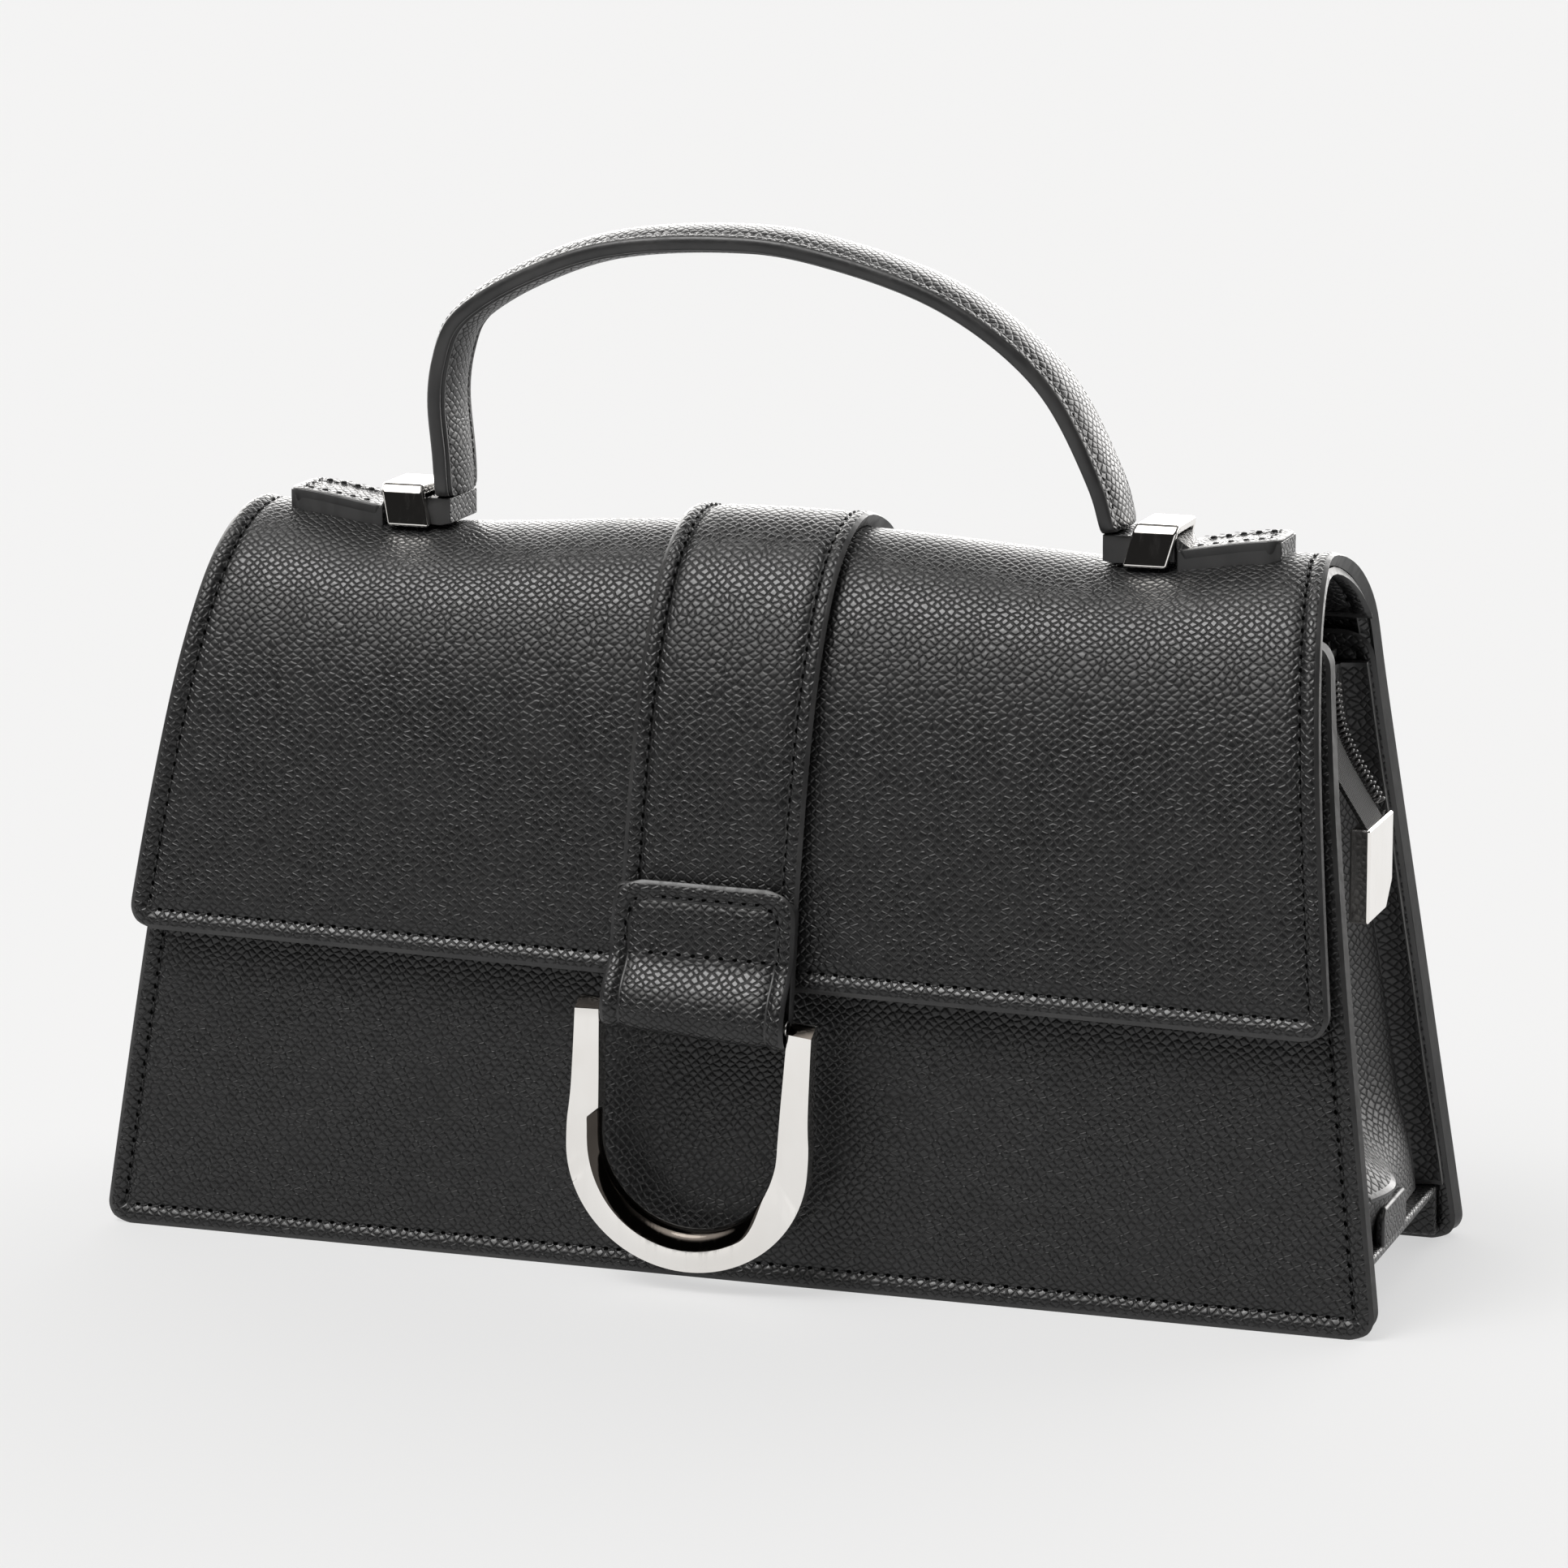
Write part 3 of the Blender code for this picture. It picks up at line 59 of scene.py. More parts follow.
VIEW_AZIMUTH = 18.659
VIEW_ELEVATION = 11.974
VIEW_DISTANCE = 1.23905
VIEW_ROLL = math.radians(-0.046)
VIEW_LENS = 140.62
SENSOR_WIDTH = 36.0

# Leather, paint and thread
STITCH_PITCH = 0.0027
STITCH_HALF = 0.00085
STITCH_INSET = 0.0039
STITCH_SLANT = math.radians(7)
THREAD_RADIUS = 0.00027
# Size and lift of the dark disc that paints a needle hole's shade
HOLE_SHADE_RADIUS = 0.00034
HOLE_SHADE_LIFT = 0.00018
EDGE_ROUND = 0.0011
EDGE_ROLL, EDGE_ROLL_WIDTH = 0.00030, 0.0014
BORDER_DOME = 0.00032
SEAM_DEPTH, SEAM_WIDTH = 0.00058, 0.00080
PAINT_REACH = 0.0006
PANEL_PLY = 0.0029
BOARD_PLY = 0.0026
FLAP_PLY = 0.0023
HIDE_PLY = 0.0024
FLAP_LINING_PLY = 0.0016
PLY_GAP = 0.0003
PANEL_CORNER = 0.0050

# Flap's crest and lean
FLAP_HALF_CREST = 0.1135
FLAP_TAPER = 0.12
DIP_DEPTH = 0.0036
DIP_WIDTH = 0.0170
DIP_WIDTH_INSIDE = 0.040
DIP_X = 0.0785
CENTRE_RISE = 0.0006
CENTRE_RISE_WIDTH = 0.0300
FLAP_LEAN = math.radians(1.0)

# How far apart points are taken to find a line's direction
WAY_REACH = 0.0008
STITCH_REACH = 0.0004
PATH_STEP = 0.0007

# Distances from a sewn edge at which a pattern has a line of points
BORDER_LINES = (0.0, 0.0009, 0.0017, 0.0025, 0.0033, 0.0039, 0.0045, 0.0056, 0.0078, 0.0115)

# Studio: what is mirrored sees the lights in full in a darker room, all else a share of them
FLOOR_COLOUR = (0.80, 0.80, 0.805)
SEEN_FLOOR = (0.30, 0.30, 0.30)
SEEN_GLOW = 0.575
BACKDROP_COLOUR = (0.860, 0.860, 0.865, 1.0)
LIGHT_COLOUR = (1.0, 0.985, 0.968, 1.0)
SOFT_BOX_WAY = (-0.31, -0.37, 0.875)
SOFT_BOX_EDGE = (0.80, 0.97)
SWEEP_REAR = (0.05, 0.75)
SWEEP_TOP = (0.76, 0.40)
TOP_EDGE = (0.55, 1.0)
SWEEP_LIGHT = 5.8
SOFT_BOX_LIGHT = 4.0
TOP_LIGHT = 0.20
ROOM_LIGHT = 0.06
DARK_ROOM = 0.015
DIFFUSE_SHARE = 0.46


# Camera and nodes

def towards(azimuth, elevation):
    """Unit direction, at degrees round from the front and degrees up."""
    turn, rise = math.radians(azimuth), math.radians(elevation)
    return Vector((math.sin(turn) * math.cos(rise), -math.cos(turn) * math.cos(rise),
                   math.sin(rise)))


def put_in_scene(name, data):
    """An object that shows some data."""
    made = bpy.data.objects.new(name, data)
    bpy.context.scene.collection.objects.link(made)
    return made


def make_camera():
    """The camera that the photograph was taken from."""
    away = towards(VIEW_AZIMUTH, VIEW_ELEVATION)
    data = bpy.data.cameras.new("photo_view")
    data.lens = VIEW_LENS
    data.sensor_width = SENSOR_WIDTH
    data.clip_end = 60.0
    camera = put_in_scene("photo_view", data)
    camera.location = VIEW_TARGET + away * VIEW_DISTANCE
    camera.rotation_mode = 'QUATERNION'
    turned = (-away).to_track_quat('-Z', 'Y')
    camera.rotation_quaternion = turned @ Quaternion((0, 0, 1), VIEW_ROLL)
    bpy.context.scene.camera = camera


def plug(tree, node, **inputs):
    """Give a node's inputs values, or link sockets to them; at3 is the fourth input."""
    for key, value in inputs.items():
        socket = node.inputs[int(key[2:]) if key.startswith("at") else key.replace("_", " ")]
        if isinstance(value, bpy.types.NodeSocket):
            tree.links.new(value, socket)
        else:
            socket.default_value = value
    return node


def add(tree, kind, settings=None, **inputs):
    """A new node with its settings and inputs."""
    made = tree.nodes.new(kind)
    for key, value in (settings or {}).items():
        setattr(made, key, value)
    return plug(tree, made, **inputs)


def calc(tree, operation, *values, kind="ShaderNodeMath", output=0, **settings):
    """One sum on sockets or numbers."""
    inputs = {f"at{i}": value for i, value in enumerate(values)}
    return add(tree, kind, {"operation": operation, **settings}, **inputs).outputs[output]


def on_vectors(tree, operation, *values):
    """One sum on vectors."""
    output = "Value" if operation == 'DOT_PRODUCT' else 0
    return calc(tree, operation, *values, kind="ShaderNodeVectorMath", output=output)


def weigh(tree, first, share, second, other):
    """Two values, each times its share, added."""
    return calc(tree, 'MULTIPLY_ADD', first, share, calc(tree, 'MULTIPLY', second, other))


def ramp(tree, value, low, high, to_low=0.0, to_high=1.0, smooth=True):
    """A value carried from one range to another and held at its ends."""
    settings = {"interpolation_type": 'SMOOTHSTEP' if smooth else 'LINEAR'}
    return add(tree, "ShaderNodeMapRange", settings, Value=value, From_Min=low, From_Max=high,
               To_Min=to_low, To_Max=to_high).outputs[0]


def noise(tree, place, scale, detail, output="Fac"):
    """Cloudy noise over a place."""
    return add(tree, "ShaderNodeTexNoise", Vector=place, Scale=scale,
               Detail=detail).outputs[output]


def blend_colour(tree, share, first, second):
    """Mix of two colours by a share; a colour is a socket or three numbers."""
    pair = [colour if isinstance(colour, bpy.types.NodeSocket) else (*colour, 1.0)
            for colour in (first, second)]
    return add(tree, "ShaderNodeMix", {"data_type": 'RGBA'}, at0=share, at6=pair[0],
               at7=pair[1]).outputs[2]


def new_finish(name):
    """A material with its tree and its own shader."""
    finish = bpy.data.materials.new(name)
    finish.use_nodes = True
    return finish, finish.node_tree, finish.node_tree.nodes["Principled BSDF"]


# Floor and lights

def make_world():
    """Studio round the bag: bright sweep behind, soft box over the front left, dim room."""
    world = bpy.data.worlds.new("studio")
    bpy.context.scene.world = world
    world.use_nodes = True
    tree = world.node_tree
    tree.nodes.clear()
    direction = add(tree, "ShaderNodeTexCoord").outputs["Generated"]
    back, up = add(tree, "ShaderNodeSeparateXYZ", at0=direction).outputs[1:3]
    rear, low = ramp(tree, back, *SWEEP_REAR), ramp(tree, up, *SWEEP_TOP)
    facing = on_vectors(tree, 'DOT_PRODUCT', direction, SOFT_BOX_WAY)
    bright = weigh(tree, calc(tree, 'MULTIPLY', rear, low), SWEEP_LIGHT,
                   ramp(tree, facing, *SOFT_BOX_EDGE), SOFT_BOX_LIGHT)
    rays = add(tree, "ShaderNodeLightPath").outputs
    glossy = rays["Is Glossy Ray"]
    unlit = ramp(tree, glossy, 0.0, 1.0, ROOM_LIGHT, DARK_ROOM)
    spread = ramp(tree, glossy, 0.0, 1.0, DIFFUSE_SHARE, 1.0)
    dim = calc(tree, 'MULTIPLY_ADD', ramp(tree, up, *TOP_EDGE), TOP_LIGHT, unlit)
    room = calc(tree, 'MULTIPLY', calc(tree, 'ADD', bright, dim), spread)
    light = add(tree, "ShaderNodeBackground", Color=LIGHT_COLOUR, Strength=room)
    plain = add(tree, "ShaderNodeBackground", Color=BACKDROP_COLOUR, Strength=1.0)
    mixed = add(tree, "ShaderNodeMixShader", at0=rays["Is Camera Ray"], at1=light.outputs[0],
                at2=plain.outputs[0])
    add(tree, "ShaderNodeOutputWorld", Surface=mixed.outputs[0])


def make_lamp(name, strength, spread, azimuth, elevation):
    """A large soft lamp far away, with its spread and its direction in degrees."""
    data = bpy.data.lights.new(name, 'SUN')
    data.energy = strength
    data.angle = math.radians(spread)
    lamp = put_in_scene(name, data)
    lamp.rotation_euler = towards(azimuth, elevation).to_track_quat('Z', 'Y').to_euler()


def make_floor():
    """Plain pale floor, wide enough to fill the view; seen or mirrored, it glows evenly."""
    bpy.ops.mesh.primitive_plane_add(size=24.0, location=(0.0, 0.0, 0.0))
    floor = bpy.context.active_object
    floor.name = "floor"
    finish, tree, shader = new_finish("pale_floor")
    rays = add(tree, "ShaderNodeLightPath").outputs
    seen = calc(tree, 'MAXIMUM', rays["Is Camera Ray"], rays["Is Glossy Ray"])
    plug(tree, shader, Base_Color=blend_colour(tree, seen, FLOOR_COLOUR, SEEN_FLOOR),
         Roughness=0.9, Specular_IOR_Level=0.0, Emission_Color=(1.0, 1.0, 1.0, 1.0),
         Emission_Strength=calc(tree, 'MULTIPLY', seen, SEEN_GLOW))
    floor.data.materials.append(finish)


# Effects that several finishes share

ROW_TURN, CELL_TURN = math.radians(38.0), math.radians(-46.0)
GREY = (0.5, 0.5, 0.5)
DRIFT = (0.0016, 0.0016, 0.0016)


def new_group(name, numbers, outputs):
    """A node group that takes a Vector and named numbers, and puts out other numbers."""
    tree = bpy.data.node_groups.new(name, 'ShaderNodeTree')
    tree.interface.new_socket("Vector", in_out='INPUT', socket_type='NodeSocketVector')
    for label, value in numbers.items():
        socket = tree.interface.new_socket(label, in_out='INPUT', socket_type='NodeSocketFloat')
        socket.default_value = value
    for label in outputs:
        tree.interface.new_socket(label, in_out='OUTPUT', socket_type='NodeSocketFloat')
    return tree, tree.nodes.new("NodeGroupInput").outputs, tree.nodes.new("NodeGroupOutput")


def cross_grain_group():
    """Embossed cross grain: two crossing sets of fine grooves round small flat-topped cells."""
    tree, given, outside = new_group(
        "cross_grain", {"Row Pitch": 0.00139, "Cell Pitch": 0.00147, "Disorder": 0.38},
        ["Height", "Groove", "Tone"])
    vector = given["Vector"]
    slow = on_vectors(tree, 'SUBTRACT', noise(tree, vector, 170.0, 1.0, "Color"), GREY)
    moved = on_vectors(tree, 'ADD', vector, on_vectors(tree, 'MULTIPLY', slow, DRIFT))

    def counted(turn, pitch):
        way = (-math.sin(turn), math.cos(turn), 0.0)
        return calc(tree, 'DIVIDE', on_vectors(tree, 'DOT_PRODUCT', moved, way), given[pitch])

    lattice = add(tree, "ShaderNodeCombineXYZ", at0=counted(ROW_TURN, "Row Pitch"),
                  at1=counted(CELL_TURN, "Cell Pitch")).outputs[0]
    edge, cell = [
        add(tree, "ShaderNodeTexVoronoi", {"voronoi_dimensions": '2D', "feature": feature},
            Vector=lattice, Scale=1.0, Randomness=given["Disorder"]).outputs
        for feature in ('DISTANCE_TO_EDGE', 'F1')]
    flat = calc(tree, 'MULTIPLY', ramp(tree, edge["Distance"], 0.0, 0.24), 0.62)
    dome = ramp(tree, cell["Distance"], 0.75, 0.0, 0.0, 0.38, smooth=False)
    groove = ramp(tree, edge["Distance"], 0.0, 0.21, 1.0, 0.0)
    tilt = on_vectors(tree, 'DOT_PRODUCT', on_vectors(tree, 'SUBTRACT', cell["Color"], GREY),
                      on_vectors(tree, 'SUBTRACT', lattice, cell["Position"]))
    height = calc(tree, 'ADD', calc(tree, 'ADD', flat, calc(tree, 'POWER', dome, 0.8)),
                  weigh(tree, tilt, 0.34, noise(tree, vector, 4200.0, 2.0), 0.08))
    tint = add(tree, "ShaderNodeSeparateXYZ", at0=cell["Color"]).outputs[0]
    tone = weigh(tree, noise(tree, vector, 38.0, 3.0), 0.7, tint, 0.3)
    plug(tree, outside, Height=height, Groove=groove, Tone=tone)
    return tree


def weave_group():
    """Woven cloth: ribs that zigzag across the width, as in a herringbone tape."""
    tree, given, outside = new_group("woven_ribs", {"Rib Pitch": 0.00055, "Zigzag": 0.0022},
                                     ["Height", "Tone"])
    across, along = add(tree, "ShaderNodeSeparateXYZ", at0=given["Vector"]).outputs[:2]

    def ribs(run):
        turns = calc(tree, 'MULTIPLY', calc(tree, 'DIVIDE', run, given["Rib Pitch"]), math.tau)
        return calc(tree, 'MULTIPLY_ADD', calc(tree, 'SINE', turns), 0.5, 0.5)

    zigzag = calc(tree, 'ADD', along, calc(tree, 'PINGPONG', across, given["Zigzag"]))
    height = weigh(tree, ribs(zigzag), 0.7, ribs(across), 0.3)
    fuzz = noise(tree, given["Vector"], 2600.0, 2.0)
    # Tone follows the rib height, which paints shade between the ribs, mixed with random fuzz
    plug(tree, outside, Height=height, Tone=weigh(tree, height, 0.6, fuzz, 0.4))
    return tree


def rubbing_group():
    """Fine rubbing marks and dull patches, from a stretched and a slow noise."""
    tree, given, outside = new_group("rubbing", {"Grain": 900.0}, ["Marks", "Patches"])
    stretched = on_vectors(tree, 'MULTIPLY', given["Vector"], (1.0, 1.0, 0.08))
    plug(tree, outside,
         Marks=ramp(tree, noise(tree, stretched, given["Grain"], 3.0), 0.42, 0.72),
         Patches=ramp(tree, noise(tree, given["Vector"], 70.0, 3.0), 0.35, 0.70))
    return tree


GRAIN = cross_grain_group()
WEAVE = weave_group()
RUBBING = rubbing_group()


# Finishes

def use_group(tree, group, place, **values):
    """What a group puts out at a place."""
    return add(tree, "ShaderNodeGroup", {"node_tree": group}, Vector=place, **values).outputs


def pattern_place(tree):
    """Place on the piece's flat pattern."""
    return add(tree, "ShaderNodeUVMap", {"uv_map": "pattern"}).outputs["UV"]


def solid_place(tree):
    """Place in the piece's own space."""
    return add(tree, "ShaderNodeTexCoord").outputs["Object"]


def use_bump(tree, shader, height, depth, strength=1.0):
    """Feed a height to the shader's normal."""
    bump = add(tree, "ShaderNodeBump", Strength=strength, Distance=depth, Height=height)
    plug(tree, shader, Normal=bump.outputs[0])


def grained_leather(name, dark, light, rough, depth):
    """Cross-grained leather: darker in its grooves as painted shade, glossier on its cells."""
    finish, tree, shader = new_finish(name)
    grain = use_group(tree, GRAIN, pattern_place(tree))
    rubbed = use_group(tree, RUBBING, solid_place(tree))
    cells = blend_colour(tree, ramp(tree, grain["Tone"], 0.25, 0.75), dark, light)
    # Grooves darkened to a quarter of the dark tone: painted shade in the grooves
    colour = blend_colour(tree, grain["Groove"], cells, [c * 0.25 for c in dark])
    gloss = ramp(tree, grain["Groove"], 0.0, 1.0, rough, rough + 0.30)
    dull = calc(tree, 'MULTIPLY', rubbed["Patches"], 0.07)
    plug(tree, shader, Base_Color=colour, Specular_IOR_Level=0.5,
         Roughness=calc(tree, 'ADD', gloss, dull, use_clamp=True))
    use_bump(tree, shader, grain["Height"], depth)
    return finish


def woven_cloth(name, dark, light, pitch, zigzag, sheen=0.25):
    """Ribbed cloth of the lining or of the zip's tapes."""
    finish, tree, shader = new_finish(name)
    weave = use_group(tree, WEAVE, pattern_place(tree), Rib_Pitch=pitch, Zigzag=zigzag)
    # Darker between the ribs as painted shade, with a tone that differs at random
    plug(tree, shader, Base_Color=blend_colour(tree, weave["Tone"], dark, light),
         Roughness=ramp(tree, weave["Tone"], 0.0, 1.0, 0.85, 0.68), Sheen_Weight=sheen,
         Specular_IOR_Level=0.25)
    use_bump(tree, shader, weave["Height"], 0.00018)
    return finish


def rubbed_finish(name, clear, worn, rough, grain=900.0, **plain):
    """A hard finish with worn patches of a second colour, rougher where it is rubbed."""
    finish, tree, shader = new_finish(name)
    rubbed = use_group(tree, RUBBING, solid_place(tree), Grain=grain)
    plug(tree, shader, Base_Color=blend_colour(tree, rubbed["Patches"], clear, worn), **plain)
    if rough:
        plug(tree, shader, Roughness=ramp(tree, rubbed["Marks"], 0.0, 1.0, *rough))
    return finish, tree, shader, rubbed


def painted_edge():
    """Edge paint: smooth, half glossy and a little uneven, as it is laid on by hand."""
    finish, tree, shader, _ = rubbed_finish(
        "painted_edge", (0.028, 0.028, 0.0285), (0.046, 0.0455, 0.0450), (0.34, 0.48), 500.0)
    use_bump(tree, shader, noise(tree, solid_place(tree), 420.0, 2.0), 0.00015, 0.6)
    return finish


def polished_metal(name, clear, worn):
    """Warm polished metal with faint hairlines."""
    finish, tree, shader, rubbed = rubbed_finish(name, clear, worn, (0.07, 0.15), Metallic=1.0)
    use_bump(tree, shader, rubbed["Marks"], 0.000015, 0.5)
    return finish


def fibrous_finish(name, scale, detail, dark, light, rough, depth, strength):
    """Thread or felt: a fine fibre, darker as painted shade and smoother between its strands."""
    finish, tree, shader = new_finish(name)
    fibre = noise(tree, solid_place(tree), scale, detail)
    # Colour follows the bump's noise: painted shade between the strands
    plug(tree, shader, Base_Color=blend_colour(tree, fibre, dark, light),
         Roughness=ramp(tree, fibre, 0.3, 0.7, *rough))
    use_bump(tree, shader, fibre, depth, strength)
    return finish


LEATHER = grained_leather("black_grained_leather", (0.0135, 0.0135, 0.0138),
                          (0.0205, 0.0205, 0.0210), 0.24, 0.00015)
WALL_LEATHER = grained_leather("soft_wall_leather", (0.0170, 0.0170, 0.0174),
                               (0.0260, 0.0260, 0.0266), 0.42, 0.00012)
INNER_LEATHER = grained_leather("inner_grained_leather", (0.0160, 0.0160, 0.0165),
                                (0.0230, 0.0230, 0.0238), 0.32, 0.00013)
PAINT = painted_edge()
LINING = woven_cloth("lining_twill", (0.022, 0.022, 0.024), (0.055, 0.055, 0.058), 0.0007, 0.5)
TAPE = woven_cloth("herringbone_tape", (0.005, 0.005, 0.005), (0.034, 0.034, 0.032),
                   0.00085, 0.0026, 0.03)
NICKEL = polished_metal("polished_nickel", (0.92, 0.90, 0.87), (0.88, 0.855, 0.82))
# Nickel darkened for the ring's hollow bevel and prong tops: painted dark reflection and shade
SHADE_PAINTED_NICKEL = polished_metal("shade_painted_nickel", (0.066, 0.058, 0.051), (0.054, 0.047, 0.041))
COIL = rubbed_finish("coil_nylon", (0.050, 0.048, 0.048), (0.110, 0.106, 0.102),
                     (0.20, 0.34))[0]
THREAD = fibrous_finish("waxed_thread", 7000.0, 2.0, (0.006, 0.006, 0.006),
                        (0.026, 0.026, 0.027), (0.42, 0.62), 0.0001, 0.6)
# Near-black discs beside the stitches: painted shade of their needle holes
PAINTED_HOLE_SHADE = rubbed_finish("painted_needle_hole_shade", (0.0006, 0.0006, 0.0006), (0.0022, 0.0022, 0.0022), None,
                     Roughness=1.0, Specular_IOR_Level=0.02)[0]
FELT = fibrous_finish("pressed_felt", 1500.0, 4.0, (0.05, 0.05, 0.05), (0.13, 0.13, 0.13),
                      (0.85, 0.98), 0.0003, 1.0)


# Modelling tools

def select_only(piece):
    """Leave one piece selected and active."""
    bpy.ops.object.select_all(action='DESELECT')
    piece.select_set(True)
    bpy.context.view_layer.objects.active = piece


@contextmanager
def editing(piece):
    """Edit mode on one piece, with all of it selected."""
    select_only(piece)
    bpy.ops.object.mode_set(mode='EDIT')
    bpy.ops.mesh.select_all(action='SELECT')
    yield
    bpy.ops.object.mode_set(mode='OBJECT')


def apply_modifiers(piece):
    """Make a piece's modifiers part of its mesh."""
    select_only(piece)
    for modifier in list(piece.modifiers):
        bpy.ops.object.modifier_apply(modifier=modifier.name)


def add_sheet(name, columns, rows, place, pattern, finishes):
    """A grid whose points are laid by place(column, row) and mapped by pattern(column, row)."""
    bpy.ops.object.select_all(action='DESELECT')
    wide, long = len(columns) - 1, len(rows) - 1
    bpy.ops.mesh.primitive_grid_add(x_subdivisions=wide, y_subdivisions=long, size=1.0)
    piece = bpy.context.active_object
    mesh = piece.data
    piece.name = mesh.name = name
    spots = [(columns[round((vertex.co.x + 0.5) * wide)], rows[round((vertex.co.y + 0.5) * long)])
             for vertex in mesh.vertices]
    for vertex, spot in zip(mesh.vertices, spots):
        vertex.co = place(*spot)
    cut = mesh.uv_layers.active
    cut.name = "pattern"
    for loop in mesh.loops:
        cut.data[loop.index].uv = pattern(*spots[loop.vertex_index])
    for finish in finishes:
        mesh.materials.append(finish)
    bpy.ops.object.shade_smooth()
    return piece


def turn_over(piece):
    """Swap a sheet's two sides."""
    with editing(piece):
        bpy.ops.mesh.flip_normals()


def face_out(piece, way):
    """Turn a sheet's faces so that most of them look along a direction."""
    total = Vector((0.0, 0.0, 0.0))
    for face in piece.data.polygons:
        total += face.normal * face.area
    if total.dot(Vector(way)) < 0:
        turn_over(piece)


def close_shell(piece, near, fill, **settings):
    """Merge a tube's doubles, fill its open ends and turn its faces outwards."""
    with editing(piece):
        bpy.ops.mesh.remove_doubles(threshold=near)
        bpy.ops.mesh.select_all(action='DESELECT')
        bpy.ops.mesh.select_mode(type='EDGE')
        bpy.ops.mesh.select_non_manifold()
        fill(**settings)
        bpy.ops.mesh.select_all(action='SELECT')
        bpy.ops.mesh.normals_make_consistent(inside=False)


def round_edges(piece, width, segments, angle, material=-1):
    """Bevel the edges that are sharper than an angle in degrees."""
    bevel = piece.modifiers.new("edge", 'BEVEL')
    bevel.width = width
    bevel.segments = segments
    bevel.limit_method = 'ANGLE'
    bevel.angle_limit = math.radians(angle)
    bevel.material = material


def smooth_over(piece):
    """Subdivide once."""
    smooth = piece.modifiers.new("smooth", 'SUBSURF')
    smooth.levels = smooth.render_levels = 1


def thicken(piece, thickness, edge_round, even=True):
    """Give a sheet its thickness under its face, and round its painted edges."""
    solid = piece.modifiers.new("thickness", 'SOLIDIFY')
    solid.thickness = thickness
    solid.offset = -1.0
    solid.use_even_offset = even
    solid.material_offset_rim = 1
    if edge_round:
        round_edges(piece, edge_round, 3, 50, 1)
    smooth_over(piece)
    apply_modifiers(piece)


def lay_pattern(piece):
    """Map a piece face by face, straight on along its nearest axis."""
    mesh = piece.data
    for layer in list(mesh.uv_layers):
        mesh.uv_layers.remove(layer)
    cut = mesh.uv_layers.new(name="pattern")
    for face in mesh.polygons:
        size = [abs(n) for n in face.normal]
        main = size.index(max(size))
        for index in face.loop_indices:
            x, y, z = mesh.vertices[mesh.loops[index].vertex_index].co
            cut.data[index].uv = ((y, z), (x, z), (x, y))[main]


def refine(node, name, finishes, edge_round, shape=None):
    """A finer copy of a frame node: merged, shaped, and with its edges rounded."""
    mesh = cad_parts[node].data.copy()
    mesh.name = name
    piece = put_in_scene(name, mesh)
    mesh.materials.clear()
    for finish in finishes:
        mesh.materials.append(finish)
    with editing(piece):
        bpy.ops.mesh.customdata_custom_splitnormals_clear()
        bpy.ops.mesh.remove_doubles(threshold=0.00002)
        bpy.ops.mesh.dissolve_limited(angle_limit=math.radians(1.0))
    if shape:
        for vertex in mesh.vertices:
            vertex.co = shape(*vertex.co)
    round_edges(piece, edge_round, 3, 28, 1 if len(finishes) > 1 else -1)
    apply_modifiers(piece)
    bpy.ops.object.shade_smooth_by_angle(angle=math.radians(40))
    flat = piece.modifiers.new("flat", 'WEIGHTED_NORMAL')
    flat.keep_sharp = True
    flat.weight = 100
    apply_modifiers(piece)
    lay_pattern(piece)
    return piece


def settle(piece, body, slot, *nodes):
    """Let a piece ride on its body and stand for its nodes; its slot is not used."""
    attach(piece, body)
    if nodes:
        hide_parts(*nodes)


def dress(node, name, look, body, edge_round, shape=None):
    """Put a finer copy in a node's place."""
    settle(refine(node, name, look[0], edge_round, shape), body, look[1], node)


def smooth_step(value, low, high):
    """0 before low, 1 after high and an even S between them."""
    share = min(max((value - low) / (high - low), 0.0), 1.0)
    return share * share * (3.0 - 2.0 * share)


def mirrored(half):
    """A row of points from its left half, whose last point is on the middle."""
    return half + [(-point[0], *point[1:]) for point in reversed(half[:-1])]


def measured(points):
    """Length along a row of points at each of them."""
    runs = np.linalg.norm(np.diff(points, axis=0), axis=1)
    return np.concatenate([[0.0], np.cumsum(runs)])


def along_row(where, lengths, points):
    """Point at a length along a row of points."""
    return np.array([np.interp(where, lengths, c) for c in points.T])


class Line:
    """Smooth line through points, measured by its length."""

    def __init__(self, points, steps=12):
        points = [np.array(p, float) for p in points]
        ends = [2 * points[0] - points[1], *points, 2 * points[-1] - points[-2]]
        dense = []
        for i in range(1, len(ends) - 2):
            before, start, finish, after = ends[i - 1:i + 3]
            for step in range(steps):
                t = step / steps
                dense.append(0.5 * (2 * start + (finish - before) * t
                                    + (2 * before - 5 * start + 4 * finish - after) * t * t
                                    + (3 * start - before - 3 * finish + after) * t ** 3))
        dense.append(points[-1])
        self.points = np.array(dense)
        self.lengths = measured(self.points)
        self.length = float(self.lengths[-1])

    def at(self, where):
        """Point at a length, run on straight past either end."""
        inside = min(max(where, 0.0), self.length)
        point = along_row(inside, self.lengths, self.points)
        return point + self.way(inside) * (where - inside)

    def way(self, where):
        """Unit direction at a length, or at the nearer end."""
        inside = min(max(where, 0.0), self.length)
        low, high = max(inside - WAY_REACH, 0.0), min(inside + WAY_REACH, self.length)
        step = (along_row(high, self.lengths, self.points)
                - along_row(low, self.lengths, self.points))
        return step / np.linalg.norm(step)

    def where(self, axis, value):
        """Length at which one coordinate is nearest a value."""
        return float(self.lengths[np.argmin(abs(self.points[:, axis] - value))])


def ripple(x, t, seed, size=0.045):
    """Slow unevenness of the leather, from -1 to 1."""
    return wander.noise(Vector((x / size, t / size, seed)))


